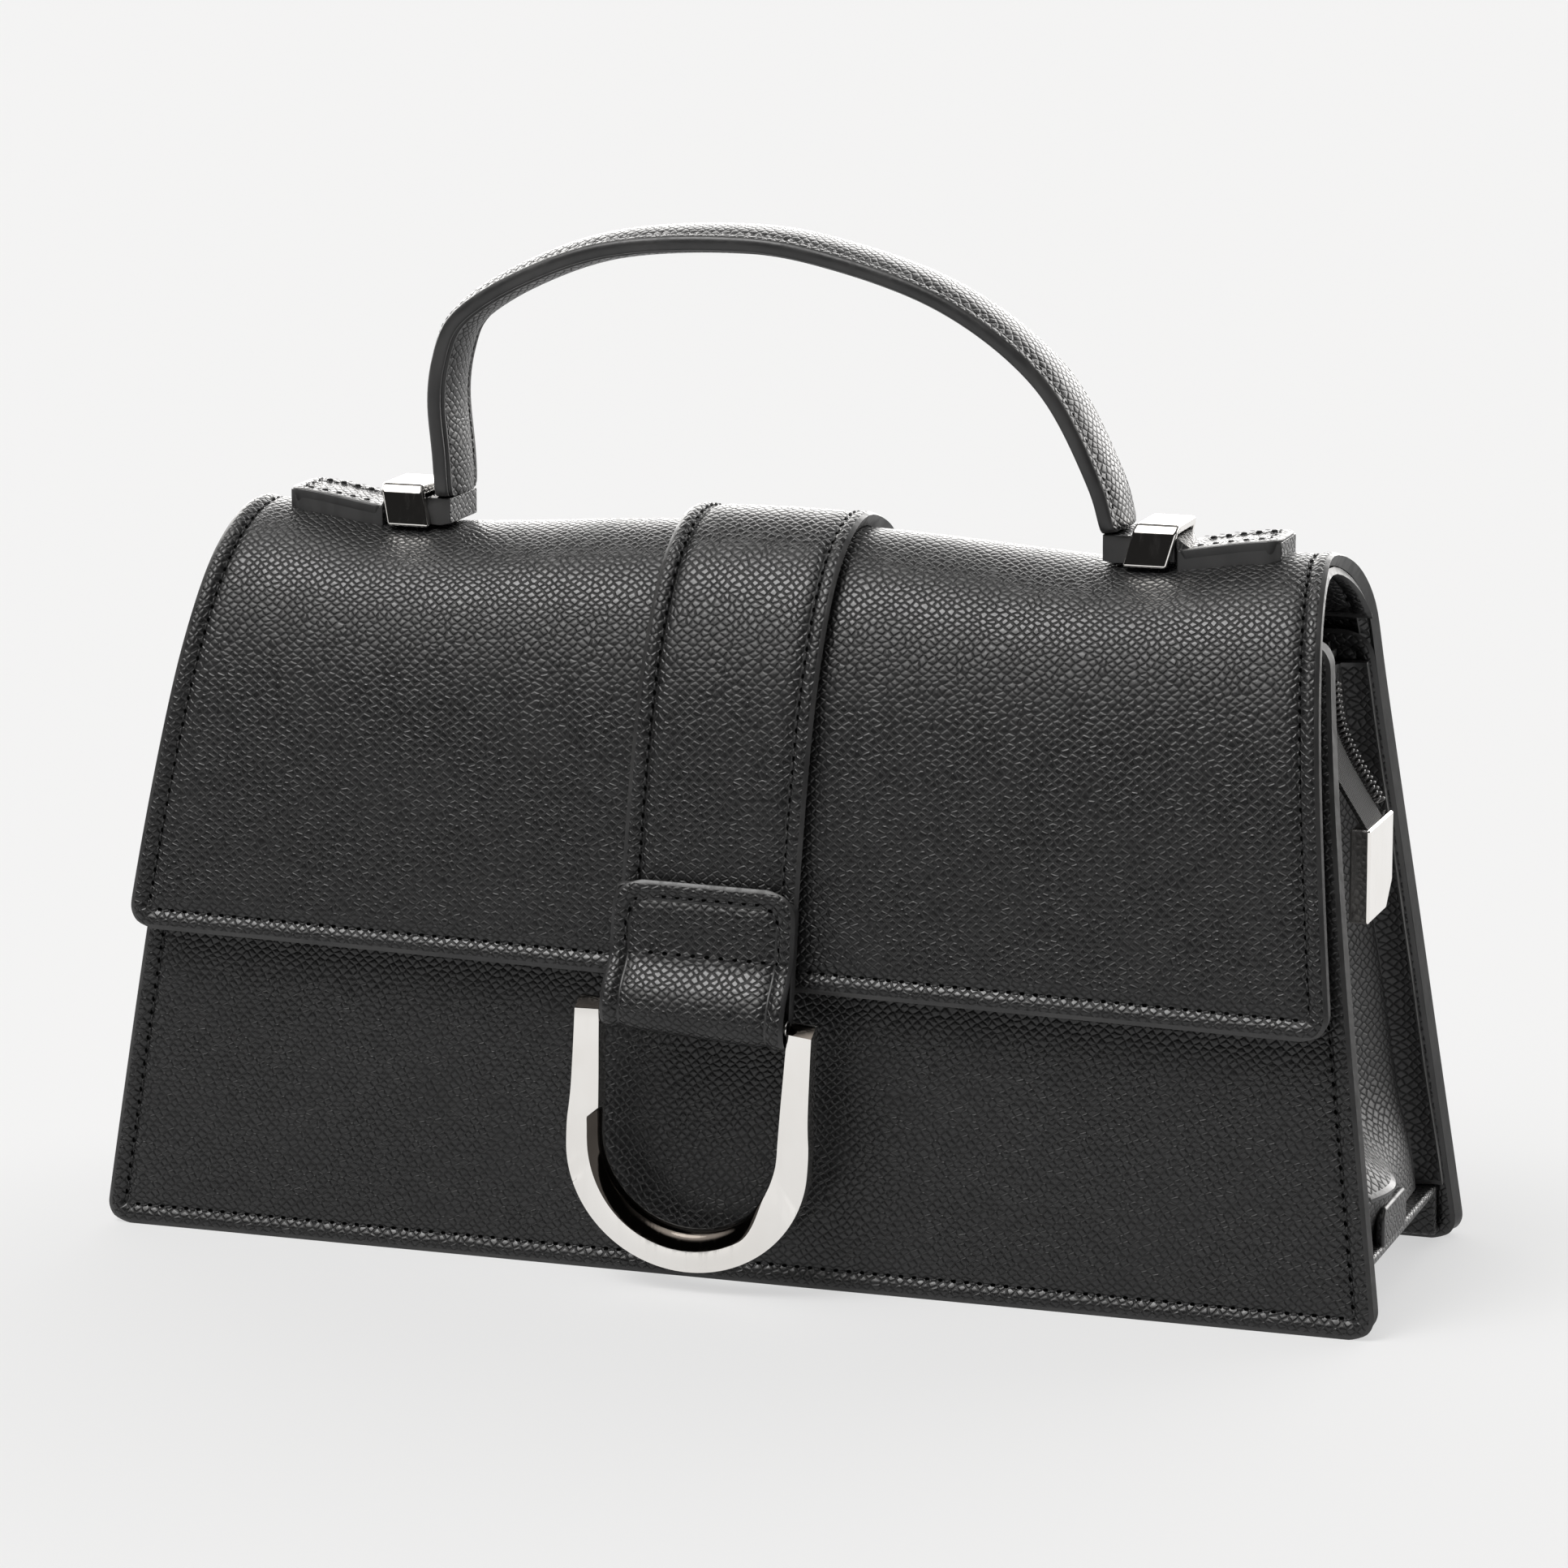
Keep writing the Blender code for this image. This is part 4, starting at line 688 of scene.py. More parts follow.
def sewn_relief(edge):
    """How a sewn border stands: rolled at its edge, domed, then drawn in by the thread."""
    roll = -EDGE_ROLL * max(0.0, 1.0 - edge / EDGE_ROLL_WIDTH) ** 2
    dome = BORDER_DOME * math.sin(math.pi * min(edge / STITCH_INSET, 1.0))
    drawn = -SEAM_DEPTH * math.exp(-((edge - STITCH_INSET) / SEAM_WIDTH) ** 2)
    return roll + dome + drawn


class Cut:
    """Flat pattern of a part: symmetric, with a half width that changes along its length.

    surface(x, t, lift) lays a point of the pattern, lifted off the part's face.
    """

    def __init__(self, surface, half, length, corners, cell, wave=0.0, seed=0.0):
        self.surface, self.half, self.length = surface, half, length
        self.corners, self.cell, self.wave, self.seed = corners, cell, wave, seed
        room = 0.6 * min(half(length / 2), length / 2)
        self.lines = [line for line in BORDER_LINES if line < room]

    def rounding(self, t):
        """How much the width is cut back by the round corner at a length."""
        for corner, reach in zip(self.corners, (t, self.length - t)):
            if corner and reach < corner:
                return corner - math.sqrt(max(corner ** 2 - (corner - reach) ** 2, 0.0))
        return 0.0

    def edge(self, x, t):
        """Distance to the nearest edge."""
        found = side = self.half(t) - abs(x)
        for corner, reach in zip(self.corners, (t, self.length - t)):
            if side < corner and reach < corner:
                return corner - math.hypot(corner - side, corner - reach)
            found = min(found, reach)
        return max(found, 0.0)

    def columns(self):
        """Columns as a side, a distance from that side's edge and a share of what is inside."""
        wide = self.half(self.length / 2) - self.lines[-1]
        count = max(2, round(2 * wide / self.cell))
        left = [(-1, line, 0.0) for line in self.lines]
        right = [(1, line, 0.0) for line in reversed(self.lines)]
        return left + [(0, 0.0, 2 * i / count - 1) for i in range(1, count)] + right

    def rows(self):
        """Lengths at which the pattern has a row of points."""
        low = list(self.lines)
        high = [self.length - line for line in reversed(self.lines)]
        start, finish = low[-1], high[0]
        count = max(2, round((finish - start) / self.cell))
        return low + [start + (finish - start) * i / count for i in range(1, count)] + high

    def across(self, column, t):
        """Place across the pattern of a column at a length."""
        side, line, share = column
        half = self.half(t) - self.rounding(t)
        return side * (half - line) if side else share * (half - self.lines[-1])

    def point(self, x, t, lift=0.0):
        """Point of the sewn part."""
        raised = lift + sewn_relief(self.edge(x, t)) + self.wave * ripple(x, t, self.seed)
        return self.surface(x, t, raised)

    def sheet(self, name, finishes):
        """The part as a thin sheet, painted along its edge."""
        rows = self.rows()
        piece = add_sheet(name, self.columns(), rows,
                          lambda c, t: self.point(self.across(c, t), t),
                          lambda c, t: (self.across(c, t), t), finishes)
        places = piece.data.uv_layers.active.data
        for face in piece.data.polygons:
            x, t = np.mean([places[i].uv for i in face.loop_indices], axis=0)
            if self.edge(x, t) < PAINT_REACH:
                face.material_index = 1
        t = rows[len(rows) // 2]
        middle = Vector(self.surface(0.0, t, 0.0))
        out = Vector(self.surface(0.0, t, 0.001)) - middle
        nearest = min(piece.data.polygons, key=lambda face: (face.center - middle).length)
        if nearest.normal.dot(out) < 0:
            turn_over(piece)
        return piece

    def lay(self, name, look, ply, edge_round, body, node, even=True):
        """The part at its thickness, in its node's place."""
        piece = self.sheet(name, look[0])
        thicken(piece, ply, edge_round, even)
        settle(piece, body, look[1], node)


# Threads

def thread_shape():
    """One stitch lying along X: a short strand whose ends dive into the leather, and a near-black
    disc, painted shade of its needle hole.
    """
    def place(i, j):
        share = 2 * j / 5 - 1
        radius = THREAD_RADIUS * math.sqrt(max(1.0 - 0.80 * share ** 6, 0.0))
        turn = math.tau * (i % 6) / 6
        rise = 0.00012 * (1 - share ** 2) - 0.00006 - 0.0004 * share ** 6
        return (share * STITCH_HALF, radius * math.cos(turn), rise + radius * math.sin(turn))

    piece = add_sheet("thread_shape", range(7), range(6), place, lambda i, j: (i, j), [THREAD])
    work = bmesh.new()
    work.from_mesh(piece.data)
    bmesh.ops.remove_doubles(work, verts=work.verts, dist=0.00001)
    bmesh.ops.holes_fill(work, edges=work.edges)
    bmesh.ops.recalc_face_normals(work, faces=work.faces)
    points = [tuple(v.co) for v in work.verts]
    faces = [[v.index for v in f.verts] for f in work.faces]
    work.free()
    bpy.data.objects.remove(piece)
    start, sides = len(points), 8
    # Flat disc beside the strand, in the near-black finish: painted shade of the needle hole
    for i in range(sides):
        turn = math.tau * i / sides
        points.append((STITCH_PITCH / 2 + 1.6 * HOLE_SHADE_RADIUS * math.cos(turn),
                       HOLE_SHADE_RADIUS * math.sin(turn), HOLE_SHADE_LIFT))
    faces.append([start + i for i in range(sides)])
    return np.array(points), faces


STITCH = thread_shape()


def copies(name, shape, frames, finish, last_finish=None):
    """One mesh that holds a copy of a shape at each frame of (place, along, side, up).

    A second finish is for each copy's last face.
    """
    points, faces = shape
    vertices, all_faces = [], []
    for place, along, side, up in frames:
        start = len(vertices)
        vertices += (points @ np.array([along, side, up]) + np.array(place)).tolist()
        all_faces += [[start + i for i in face] for face in faces]
    mesh = bpy.data.meshes.new(name)
    mesh.from_pydata(vertices, [], all_faces)
    mesh.materials.append(finish)
    if last_finish:
        mesh.materials.append(last_finish)
        for i in range(len(faces) - 1, len(all_faces), len(faces)):
            mesh.polygons[i].material_index = 1
    mesh.shade_smooth()
    return put_in_scene(name, mesh)


def frames_along(point, path):
    """Frames of a row of slanted stitches along a path on a surface point(x, t, lift)."""
    dense = []
    for (x0, t0), (x1, t1) in zip(path, path[1:]):
        count = max(2, int(math.hypot(x1 - x0, t1 - t0) / PATH_STEP))
        dense += [(x0 + (x1 - x0) * i / count, t0 + (t1 - t0) * i / count)
                  for i in range(count)]
    dense = np.array(dense + [path[-1]])
    laid = np.array([point(x, t) for x, t in dense])
    lengths = measured(laid)
    count = max(1, int(lengths[-1] / STITCH_PITCH))
    frames = []
    for i in range(count):
        middle = (i + 0.5) * lengths[-1] / count
        x, t = along_row(middle, lengths, dense)
        here = Vector(point(x, t))
        up = (Vector(point(x, t, 0.0005)) - here).normalized()
        along = Vector(along_row(middle + STITCH_REACH, lengths, laid)
                       - along_row(middle - STITCH_REACH, lengths, laid))
        along = (along - up * along.dot(up)).normalized()
        turn = Quaternion(up, STITCH_SLANT)
        frames.append((here, turn @ along, turn @ up.cross(along), up))
    return frames


def sew(name, cut, paths, body, slot="grained_leather"):
    """Threads along paths on a pattern."""
    frames = [each for path in paths for each in frames_along(cut.point, path)]
    settle(copies(name, STITCH, frames, THREAD, PAINTED_HOLE_SHADE), body, slot)


def border_path(cut, start=0.0, finish=0.0, ends=(True, True), inset=STITCH_INSET):
    """Paths an inset inside a pattern's edge: its left side, its right side and its ends."""
    low = inset if ends[0] else start
    high = cut.length - inset if ends[1] else finish
    steps = 24
    sides = [low + (high - low) * i / steps for i in range(steps + 1)]
    left = [(-(cut.half(t) - inset), t) for t in sides]
    right = [(cut.half(t) - inset, t) for t in sides]
    return [left, right] + [[left[i], right[i]] for i, end in zip((0, -1), ends) if end]


# Lines that the pieces share

DEPTH_SHIFT = 0.0063259
BASE_HALF, SIDE_TAPER = 0.1340, 0.13
FOOT_DEPTH = 0.0400
FRONT_LEAN, BACK_LEAN = 0.09, 0.13
FRONT_BEND, BEND_HEIGHT = 0.0110, 0.130
FLAP_STANDS_OFF = 0.0074
HINGE_HEIGHT = 0.1290
PANEL_HEIGHT = 0.1320
CREST = (-0.0030 + DEPTH_SHIFT, 0.1468)
CORNERS = (PANEL_CORNER, PANEL_CORNER)
FLAP_CORNER = 0.0055
SET_BACK = 0.0004
CORNER_SET = 0.0075

# How far to the right the flap's front edge, its tab and the ring hang
RING_SHIFT = -0.0015

# Each look is its finishes, the second for painted edges, and a slot name
OUTER = ([LEATHER, PAINT], "grained_leather")
WALL = ([WALL_LEATHER, PAINT], "grained_leather")
INNER = ([INNER_LEATHER, PAINT], "inner_leather")
METAL = ([NICKEL], "polished_nickel")
ZIP_TAPE = ([TAPE], "lining_cloth")


def panel_half(z):
    """Half width of the front and back panels at a height."""
    return BASE_HALF - SIDE_TAPER * z


def front_y(z):
    """Outer face of the front panel at a height."""
    bend = FRONT_BEND * (max(z, 0.0) / BEND_HEIGHT) ** 4
    return DEPTH_SHIFT - FOOT_DEPTH + FRONT_LEAN * z + bend


def back_y(z):
    """Outer face of the back panel at a height."""
    return DEPTH_SHIFT + FOOT_DEPTH - BACK_LEAN * z


def front_inner_y(z):
    """Free line just inside the front board."""
    return front_y(z) + PANEL_PLY + PLY_GAP + BOARD_PLY + PLY_GAP


def back_inner_y(z):
    """Free line just inside the back board."""
    return back_y(z) - PANEL_PLY - PLY_GAP - BOARD_PLY - PLY_GAP


def middle_y(z):
    """Halfway between the two boards at a height."""
    return (front_inner_y(z) + back_inner_y(z)) / 2


# The back and the flap are one hide: up the back, over the crest and down the front
HIDE = Line([(back_y(z), z) for z in (0.0, 0.03, 0.06, 0.09, 0.113, HINGE_HEIGHT)]
            + [(back_y(HINGE_HEIGHT) - 0.0019, 0.1350),
               (CREST[0] + 0.0150, CREST[1] - 0.0038), CREST,
               (CREST[0] - 0.0140, CREST[1] - 0.0070)]
            + [(front_y(z) - FLAP_STANDS_OFF, z) for z in (0.1255, 0.1040, 0.0600)])
HINGE_AT = HIDE.where(1, HINGE_HEIGHT)
CREST_AT = float(HIDE.lengths[np.argmax(HIDE.points[:, 1])])


def hide_half(t):
    """Half width of the hide: the panel's up to the hinge, then the flap's."""
    panel = panel_half(float(HIDE.at(t)[1]))
    flap = FLAP_HALF_CREST + FLAP_TAPER * abs(t - CREST_AT)
    return panel + (flap - panel) * smooth_step(t, HINGE_AT - 0.012, HINGE_AT + 0.006)


def crest_drop(x, t):
    """How far the flap sinks under the handle's feet; it stands up a little at its middle."""
    share = min(abs(t - CREST_AT) / (CREST_AT - HINGE_AT), 1.0)
    fade = math.cos(share * math.pi / 2) ** 2
    width = DIP_WIDTH_INSIDE if abs(x) < DIP_X else DIP_WIDTH
    dip = DIP_DEPTH * math.exp(-((abs(x) - DIP_X) / width) ** 2)
    return (dip - CENTRE_RISE * math.exp(-(x / CENTRE_RISE_WIDTH) ** 2)) * fade


def hide_surface(x, t, lift):
    """Point of the hide, lifted off its face; the flap's front hangs a little askew."""
    hung = smooth_step(t, CREST_AT, HIDE.length)
    t = t + (math.tan(FLAP_LEAN) * x - 0.0010) * hung
    point, way = HIDE.at(t), HIDE.way(t)
    y, z = point + np.array([way[1], -way[0]]) * lift
    return (x + RING_SHIFT * hung, y, z - crest_drop(x, t))


# Panels, ends, base and lining

FRONT = Cut(lambda x, z, lift: (x, front_y(z) - lift, z), panel_half, PANEL_HEIGHT, CORNERS,
            cell=0.006, wave=0.00022, seed=3.0)
HIDE_CUT = Cut(hide_surface, hide_half, HIDE.length, (PANEL_CORNER, FLAP_CORNER), cell=0.005,
               wave=0.00022, seed=8.0)


def make_panels():
    """Front and back with their boards, and the flap in one piece with the back."""
    FRONT.lay("front_leather", OUTER, PANEL_PLY, EDGE_ROUND, "bag", "front_panel")
    sew("front_stitches", FRONT, border_path(FRONT)[:3], "bag")

    def front_board_surface(x, z, lift):
        return (x, front_y(z) + PANEL_PLY + PLY_GAP + BOARD_PLY + lift, z)

    def back_board_surface(x, z, lift):
        return (x, back_y(z) - PANEL_PLY - PLY_GAP - BOARD_PLY - lift, z)

    for word, surface, height in (("front", front_board_surface, PANEL_HEIGHT),
                                  ("back", back_board_surface, HINGE_HEIGHT - 0.0007)):
        board = Cut(surface, lambda z: panel_half(z) - SET_BACK, height, CORNERS, cell=0.012)
        board.lay(word + "_inner_board", INNER, BOARD_PLY, EDGE_ROUND, "bag", word + "_board")

    hide = HIDE_CUT.sheet("back_and_flap_leather", [LEATHER, PAINT])
    thicken(hide, HIDE_PLY, EDGE_ROUND)
    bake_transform(hide)
    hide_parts("back_panel", "flap_outer")
    sew("back_stitches", HIDE_CUT,
        border_path(HIDE_CUT, finish=HINGE_AT - 0.010, ends=(True, False)), "bag")
    sew("flap_stitches", HIDE_CUT,
        border_path(HIDE_CUT, start=HINGE_AT + 0.004, ends=(False, True)), "flap")

    start = HINGE_AT + 0.002
    lining = Cut(lambda x, t, lift: hide_surface(x, t + start, -FLAP_PLY - PLY_GAP
                                                 - FLAP_LINING_PLY - lift),
                 lambda t: hide_half(t + start) - SET_BACK, HIDE.length - start - SET_BACK,
                 (0.0, FLAP_CORNER), cell=0.008)
    lining.lay("flap_inner_leather", INNER, FLAP_LINING_PLY, 0.0006, "flap", "flap_lining",
               even=False)
    sew("flap_inner_stitches", lining, border_path(lining, start=0.004, ends=(False, True)),
        "flap", "inner_leather")


GUSSET_PLY = 0.0018
GUSSET_FOOT, GUSSET_TOP = 0.0125, 0.1220
FLANGE_START, FLANGE_OUT = 0.82, 0.0045
CREASE = 0.22


def gusset_fold(z):
    """How far an end wall folds in at its middle; it bulges out a little at its foot."""
    fold = -0.0005 + 0.0105 * smooth_step(z, 0.019, 0.036)
    return fold - 0.0070 * smooth_step(z, 0.085, 0.112)


def foot_fold(u, z):
    """How far the slack at an end wall's foot stands out, in front of its middle."""
    return 0.0058 * math.exp(-((z - 0.0235) / 0.0058) ** 2 - ((u + 0.25) / 0.34) ** 2)


def gusset_point(side, u, z):
    """Point of an end wall's outer face; u runs from -1 at the front to 1 at the back."""
    corner = panel_half(z) - CORNER_SET
    half = (back_inner_y(z) - front_inner_y(z)) / 2 - GUSSET_PLY
    reach = min(abs(u) / FLANGE_START, 1.0)
    soft = (math.hypot(reach, CREASE) - CREASE) / (math.hypot(1.0, CREASE) - CREASE)
    fold = gusset_fold(z) * (1.0 - soft) + 0.0004 * ripple(u * 0.03, z, 5.0 + side, 0.03)
    flange = max(abs(u) - FLANGE_START, 0.0) / (1.0 - FLANGE_START)
    round_off = 0.0012 * math.exp(-((abs(u) - FLANGE_START) / 0.05) ** 2)
    x = corner - fold + GUSSET_PLY - SET_BACK - round_off + FLANGE_OUT * flange
    x += foot_fold(u, z)
    y = middle_y(z) + math.copysign(half * reach, u) - math.copysign(round_off, u)
    return (side * x, y, z)


def make_ends():
    """Folded end walls with a flange along each board."""
    us = [-1.0, -0.93, -0.87, -0.83, -0.80, -0.75, -0.66]
    us = us + [i / 10 for i in range(-5, 6)] + [-u for u in reversed(us)]
    zs = [GUSSET_FOOT + (GUSSET_TOP - GUSSET_FOOT) * i / 22 for i in range(23)]
    for side, word in ((-1, "left"), (1, "right")):
        wall = add_sheet("end_wall_" + word, us, zs, lambda u, z: gusset_point(side, u, z),
                         lambda u, z: (u * 0.030, z), WALL[0])
        face_out(wall, (side, 0.0, 0.0))
        thicken(wall, GUSSET_PLY, 0.0004)
        settle(wall, "bag", "grained_leather", "gusset_" + word)


def make_base():
    """Raised base, its turned-up ends and its stiffener."""
    dress("base_panel", "base_leather", ([LEATHER], OUTER[1]), "bag", 0.0008)
    for word in ("left", "right"):
        dress("base_end_" + word, "base_turn_up_" + word, WALL, "bag", 0.0006,
              lambda x, y, z: (x - math.copysign(0.0020, x), 0.0006 + (y - 0.0061) * 0.74,
                               0.0195 + (z - 0.0190) * 0.90))
    dress("base_board", "base_stiffener", ([FELT], "inner_leather"), "bag", 0.0004)


LINING_GAP = 0.0014
LINING_PLY = 0.0009
LINING_LOW, LINING_HIGH = 0.0155, 0.1135
POCKET_PLY = 0.0010
POCKET_FOOT, POCKET_HALF, POCKET_LENGTH = 0.0400, 0.052, 0.060


def lining_spot(around, z):
    """Point of the lining sack at a share of the way round and a height."""
    corner = panel_half(z) - CORNER_SET - LINING_GAP
    tip = corner - gusset_fold(z)
    front, back = front_inner_y(z) + LINING_GAP, back_inner_y(z) - LINING_GAP
    loop = [(-corner, front), (corner, front), (tip, middle_y(z)), (corner, back),
            (-corner, back), (-tip, middle_y(z))]
    stops = (0.0, 0.42, 0.46, 0.50, 0.92, 0.96, 1.0)
    total = np.zeros(2)
    for shift in (-0.006, -0.003, 0.0, 0.003, 0.006):
        place = (around + shift) % 1.0
        i = max(k for k in range(6) if stops[k] <= place)
        share = (place - stops[i]) / (stops[i + 1] - stops[i])
        total += np.array(loop[i]) * (1 - share) + np.array(loop[(i + 1) % 6]) * share
    spot = total / 5
    inwards = np.array([0.0, middle_y(z)]) - spot
    slack = 0.0012 * (0.5 + 0.5 * ripple(around * 0.5, z, 11.0, 0.028))
    return spot + inwards / np.linalg.norm(inwards) * slack


def make_lining():
    """Loose lining sack with a patch pocket on its back wall, and the mouth's facings."""
    rows = [(share, LINING_LOW) for share in (0.02, 0.2, 0.45, 0.7, 0.88, 0.97)]
    rows += [(1.0, LINING_LOW + (LINING_HIGH - LINING_LOW) * i / 16) for i in range(17)]
    centre = middle_y(LINING_LOW)

    def place(around, row):
        share, z = row
        x, y = lining_spot(around, z)
        return (x * share, centre + (y - centre) * share, z)

    sack = add_sheet("lining_sack", [i / 96 for i in range(97)], rows, place,
                     lambda a, row: (a * 0.62, row[1] if row[0] == 1.0 else row[0] * 0.02),
                     [LINING])
    with editing(sack):
        bpy.ops.mesh.remove_doubles(threshold=0.00001)
        bpy.ops.mesh.normals_make_consistent(inside=True)
    thicken(sack, LINING_PLY, 0.0)
    settle(sack, "bag", "lining_cloth", "lining_bag")

    def pocket_surface(x, t, lift):
        z = POCKET_FOOT + t
        return (x, back_inner_y(z) - LINING_GAP - LINING_PLY - PLY_GAP - POCKET_PLY - lift, z)

    pocket = Cut(pocket_surface, lambda t: POCKET_HALF, POCKET_LENGTH, (0.003, 0.003),
                 cell=0.007, wave=0.0003, seed=2.0)
    pocket.lay("patch_pocket", ([LINING, LINING], "lining_cloth"), POCKET_PLY, 0.0003, "bag",
               "inner_pocket")
    sew("pocket_stitches", pocket, border_path(pocket, inset=0.0025), "bag", "lining_cloth")
    for word in ("front", "back"):
        dress("facing_" + word, "mouth_facing_" + word, INNER, "bag", 0.0004)


def make_snap():
    """Magnetic snap: a stud and its washer on the front, a cap on the flap's lining."""
    for part, body in (("stud", "bag"), ("washer", "bag"), ("cap", "flap")):
        dress("magnet_" + part, "snap_" + part, METAL, body, 0.0003)


# Band, tab and ring

BAND_HALF = 0.0185
BAND_PLY = 0.0026
BAND_INSET = 0.0034
BAND_PAST_FLAP = 0.0065
BAND_START = CREST_AT - 0.0190
BAND = Cut(lambda x, t, lift: hide_surface(x, t + BAND_START, lift + PLY_GAP + BAND_PLY),
           lambda t: BAND_HALF, HIDE.length - BAND_START + BAND_PAST_FLAP, (0.002, 0.002),
           cell=0.005, wave=0.0001, seed=6.0)

# The tab lies on the flap's straight front: how far up from the bar and how far out of it
TAB_LINE = Line([(0.0270, 0.0058), (0.0200, 0.0058), (0.0135, 0.0058), (0.0105, 0.0064),
                 (0.0065, 0.0090), (0.0028, 0.0101), (0.0000, 0.0102), (-0.0024, 0.0093),
                 (-0.0035, 0.0067), (-0.0024, 0.0042), (0.0, 0.0033), (0.0060, 0.0033),
                 (0.0160, 0.0033), (0.0255, 0.0033)])
TAB_HALF = 0.0192
TAB_PLY = 0.0014

# Heights where the flap's slope is taken and from which the tab is measured
SLOPE_HEIGHT, TAB_ZERO = 0.0640, 0.0540


def tab_surface(x, t, lift):
    """Point of the tab's outer face, from its top down round the bar and up behind."""
    (up, out), way = TAB_LINE.at(t), TAB_LINE.way(t)
    up += way[1] * lift - x * (0.012 + 0.048 * smooth_step(t, 0.012, 0.030))
    run = HIDE.where(1, SLOPE_HEIGHT)
    foot, rise = HIDE.at(run), -HIDE.way(run)
    foot = foot + rise * (TAB_ZERO - foot[1]) / rise[1]
    y, z = foot + rise * up + np.array([-rise[1], rise[0]]) * (out - way[0] * lift)
    return (x + RING_SHIFT, y, z)


TAB = Cut(tab_surface, lambda t: TAB_HALF, TAB_LINE.length, (0.0060, 0.0015), cell=0.0022,
          seed=4.0)


def make_band_and_tab():
    """Strap over the middle of the flap, and the folded tab that holds the ring's bar."""
    BAND.lay("band_leather", OUTER, BAND_PLY, EDGE_ROUND, "flap", "flap_band")
    sew("band_stitches", BAND, border_path(BAND, inset=BAND_INSET)[:2], "flap")
    TAB.lay("tab_leather", OUTER, TAB_PLY, 0.0005, "flap", "ring_tab")
    seam = TAB_LINE.where(0, 0.0125)
    inset, corner, cut_off = 0.0033, 0.0048, 0.0014
    side = TAB_HALF - inset
    left = [(-side, seam), (-side, corner + inset), (-side + cut_off, inset + cut_off),
            (-side + corner, inset)]
    border = left + [(-x, t) for x, t in reversed(left)]
    sew("tab_stitches", TAB, [border, [(-side, seam), (side, seam)]], "flap")


RING_Y = -0.042826
BAR_Z = 0.055158
RING_TOP = BAR_Z + 0.0020
RING_CENTRE = BAR_Z - 0.0240
RING_TILT = math.radians(3.0)
RING_HALF_THICK = 0.0020
RING_OUTER, RING_INNER = 0.0252, 0.0187
PRONG_CHAMFER, CHAMFER_DEPTH = 0.0016, 0.0026

# The hollow's width, the shares of the way round at which it begins and ends, and its
# profile: how far out of the inner edge and how deep, as shares of that width
GROUND_WIDTH, GROUND_LEAST = 0.0036, 0.0002
GROUND_START, GROUND_END = 0.1955, 0.690
GROUND_WIDENS, GROUND_FADES = (0.22, 0.42), (0.600, 0.685)
GROUND = ((0.0, 0.0), (0.56, 0.18), (0.76, 0.31), (0.92, 0.53), (1.0, 0.90))


def ring_lines():
    """Outer and inner outlines of the horseshoe, from the left prong's top to the right's."""
    low = RING_CENTRE - 0.0028
    outer = [(-0.0246, RING_TOP), (-0.0246, RING_TOP - 0.0080), (-0.0247, 0.0400),
             (-0.0249, 0.0360), (-0.0252, 0.0325)]
    inner = [(-0.0196, RING_TOP), (-0.0193, RING_TOP - 0.0080), (-0.0190, 0.0420),
             (-0.0188, 0.0360), (-0.0187, RING_CENTRE + 0.0015)]
    for i in range(13):
        turn = math.pi + math.pi / 2 * i / 12
        outer.append((RING_OUTER * math.cos(turn), low + (low - 0.0044) * math.sin(turn)))
        inner.append((RING_INNER * math.cos(turn), RING_CENTRE + RING_INNER * math.sin(turn)))
    return Line(mirrored(outer), 6), Line(mirrored(inner), 6)


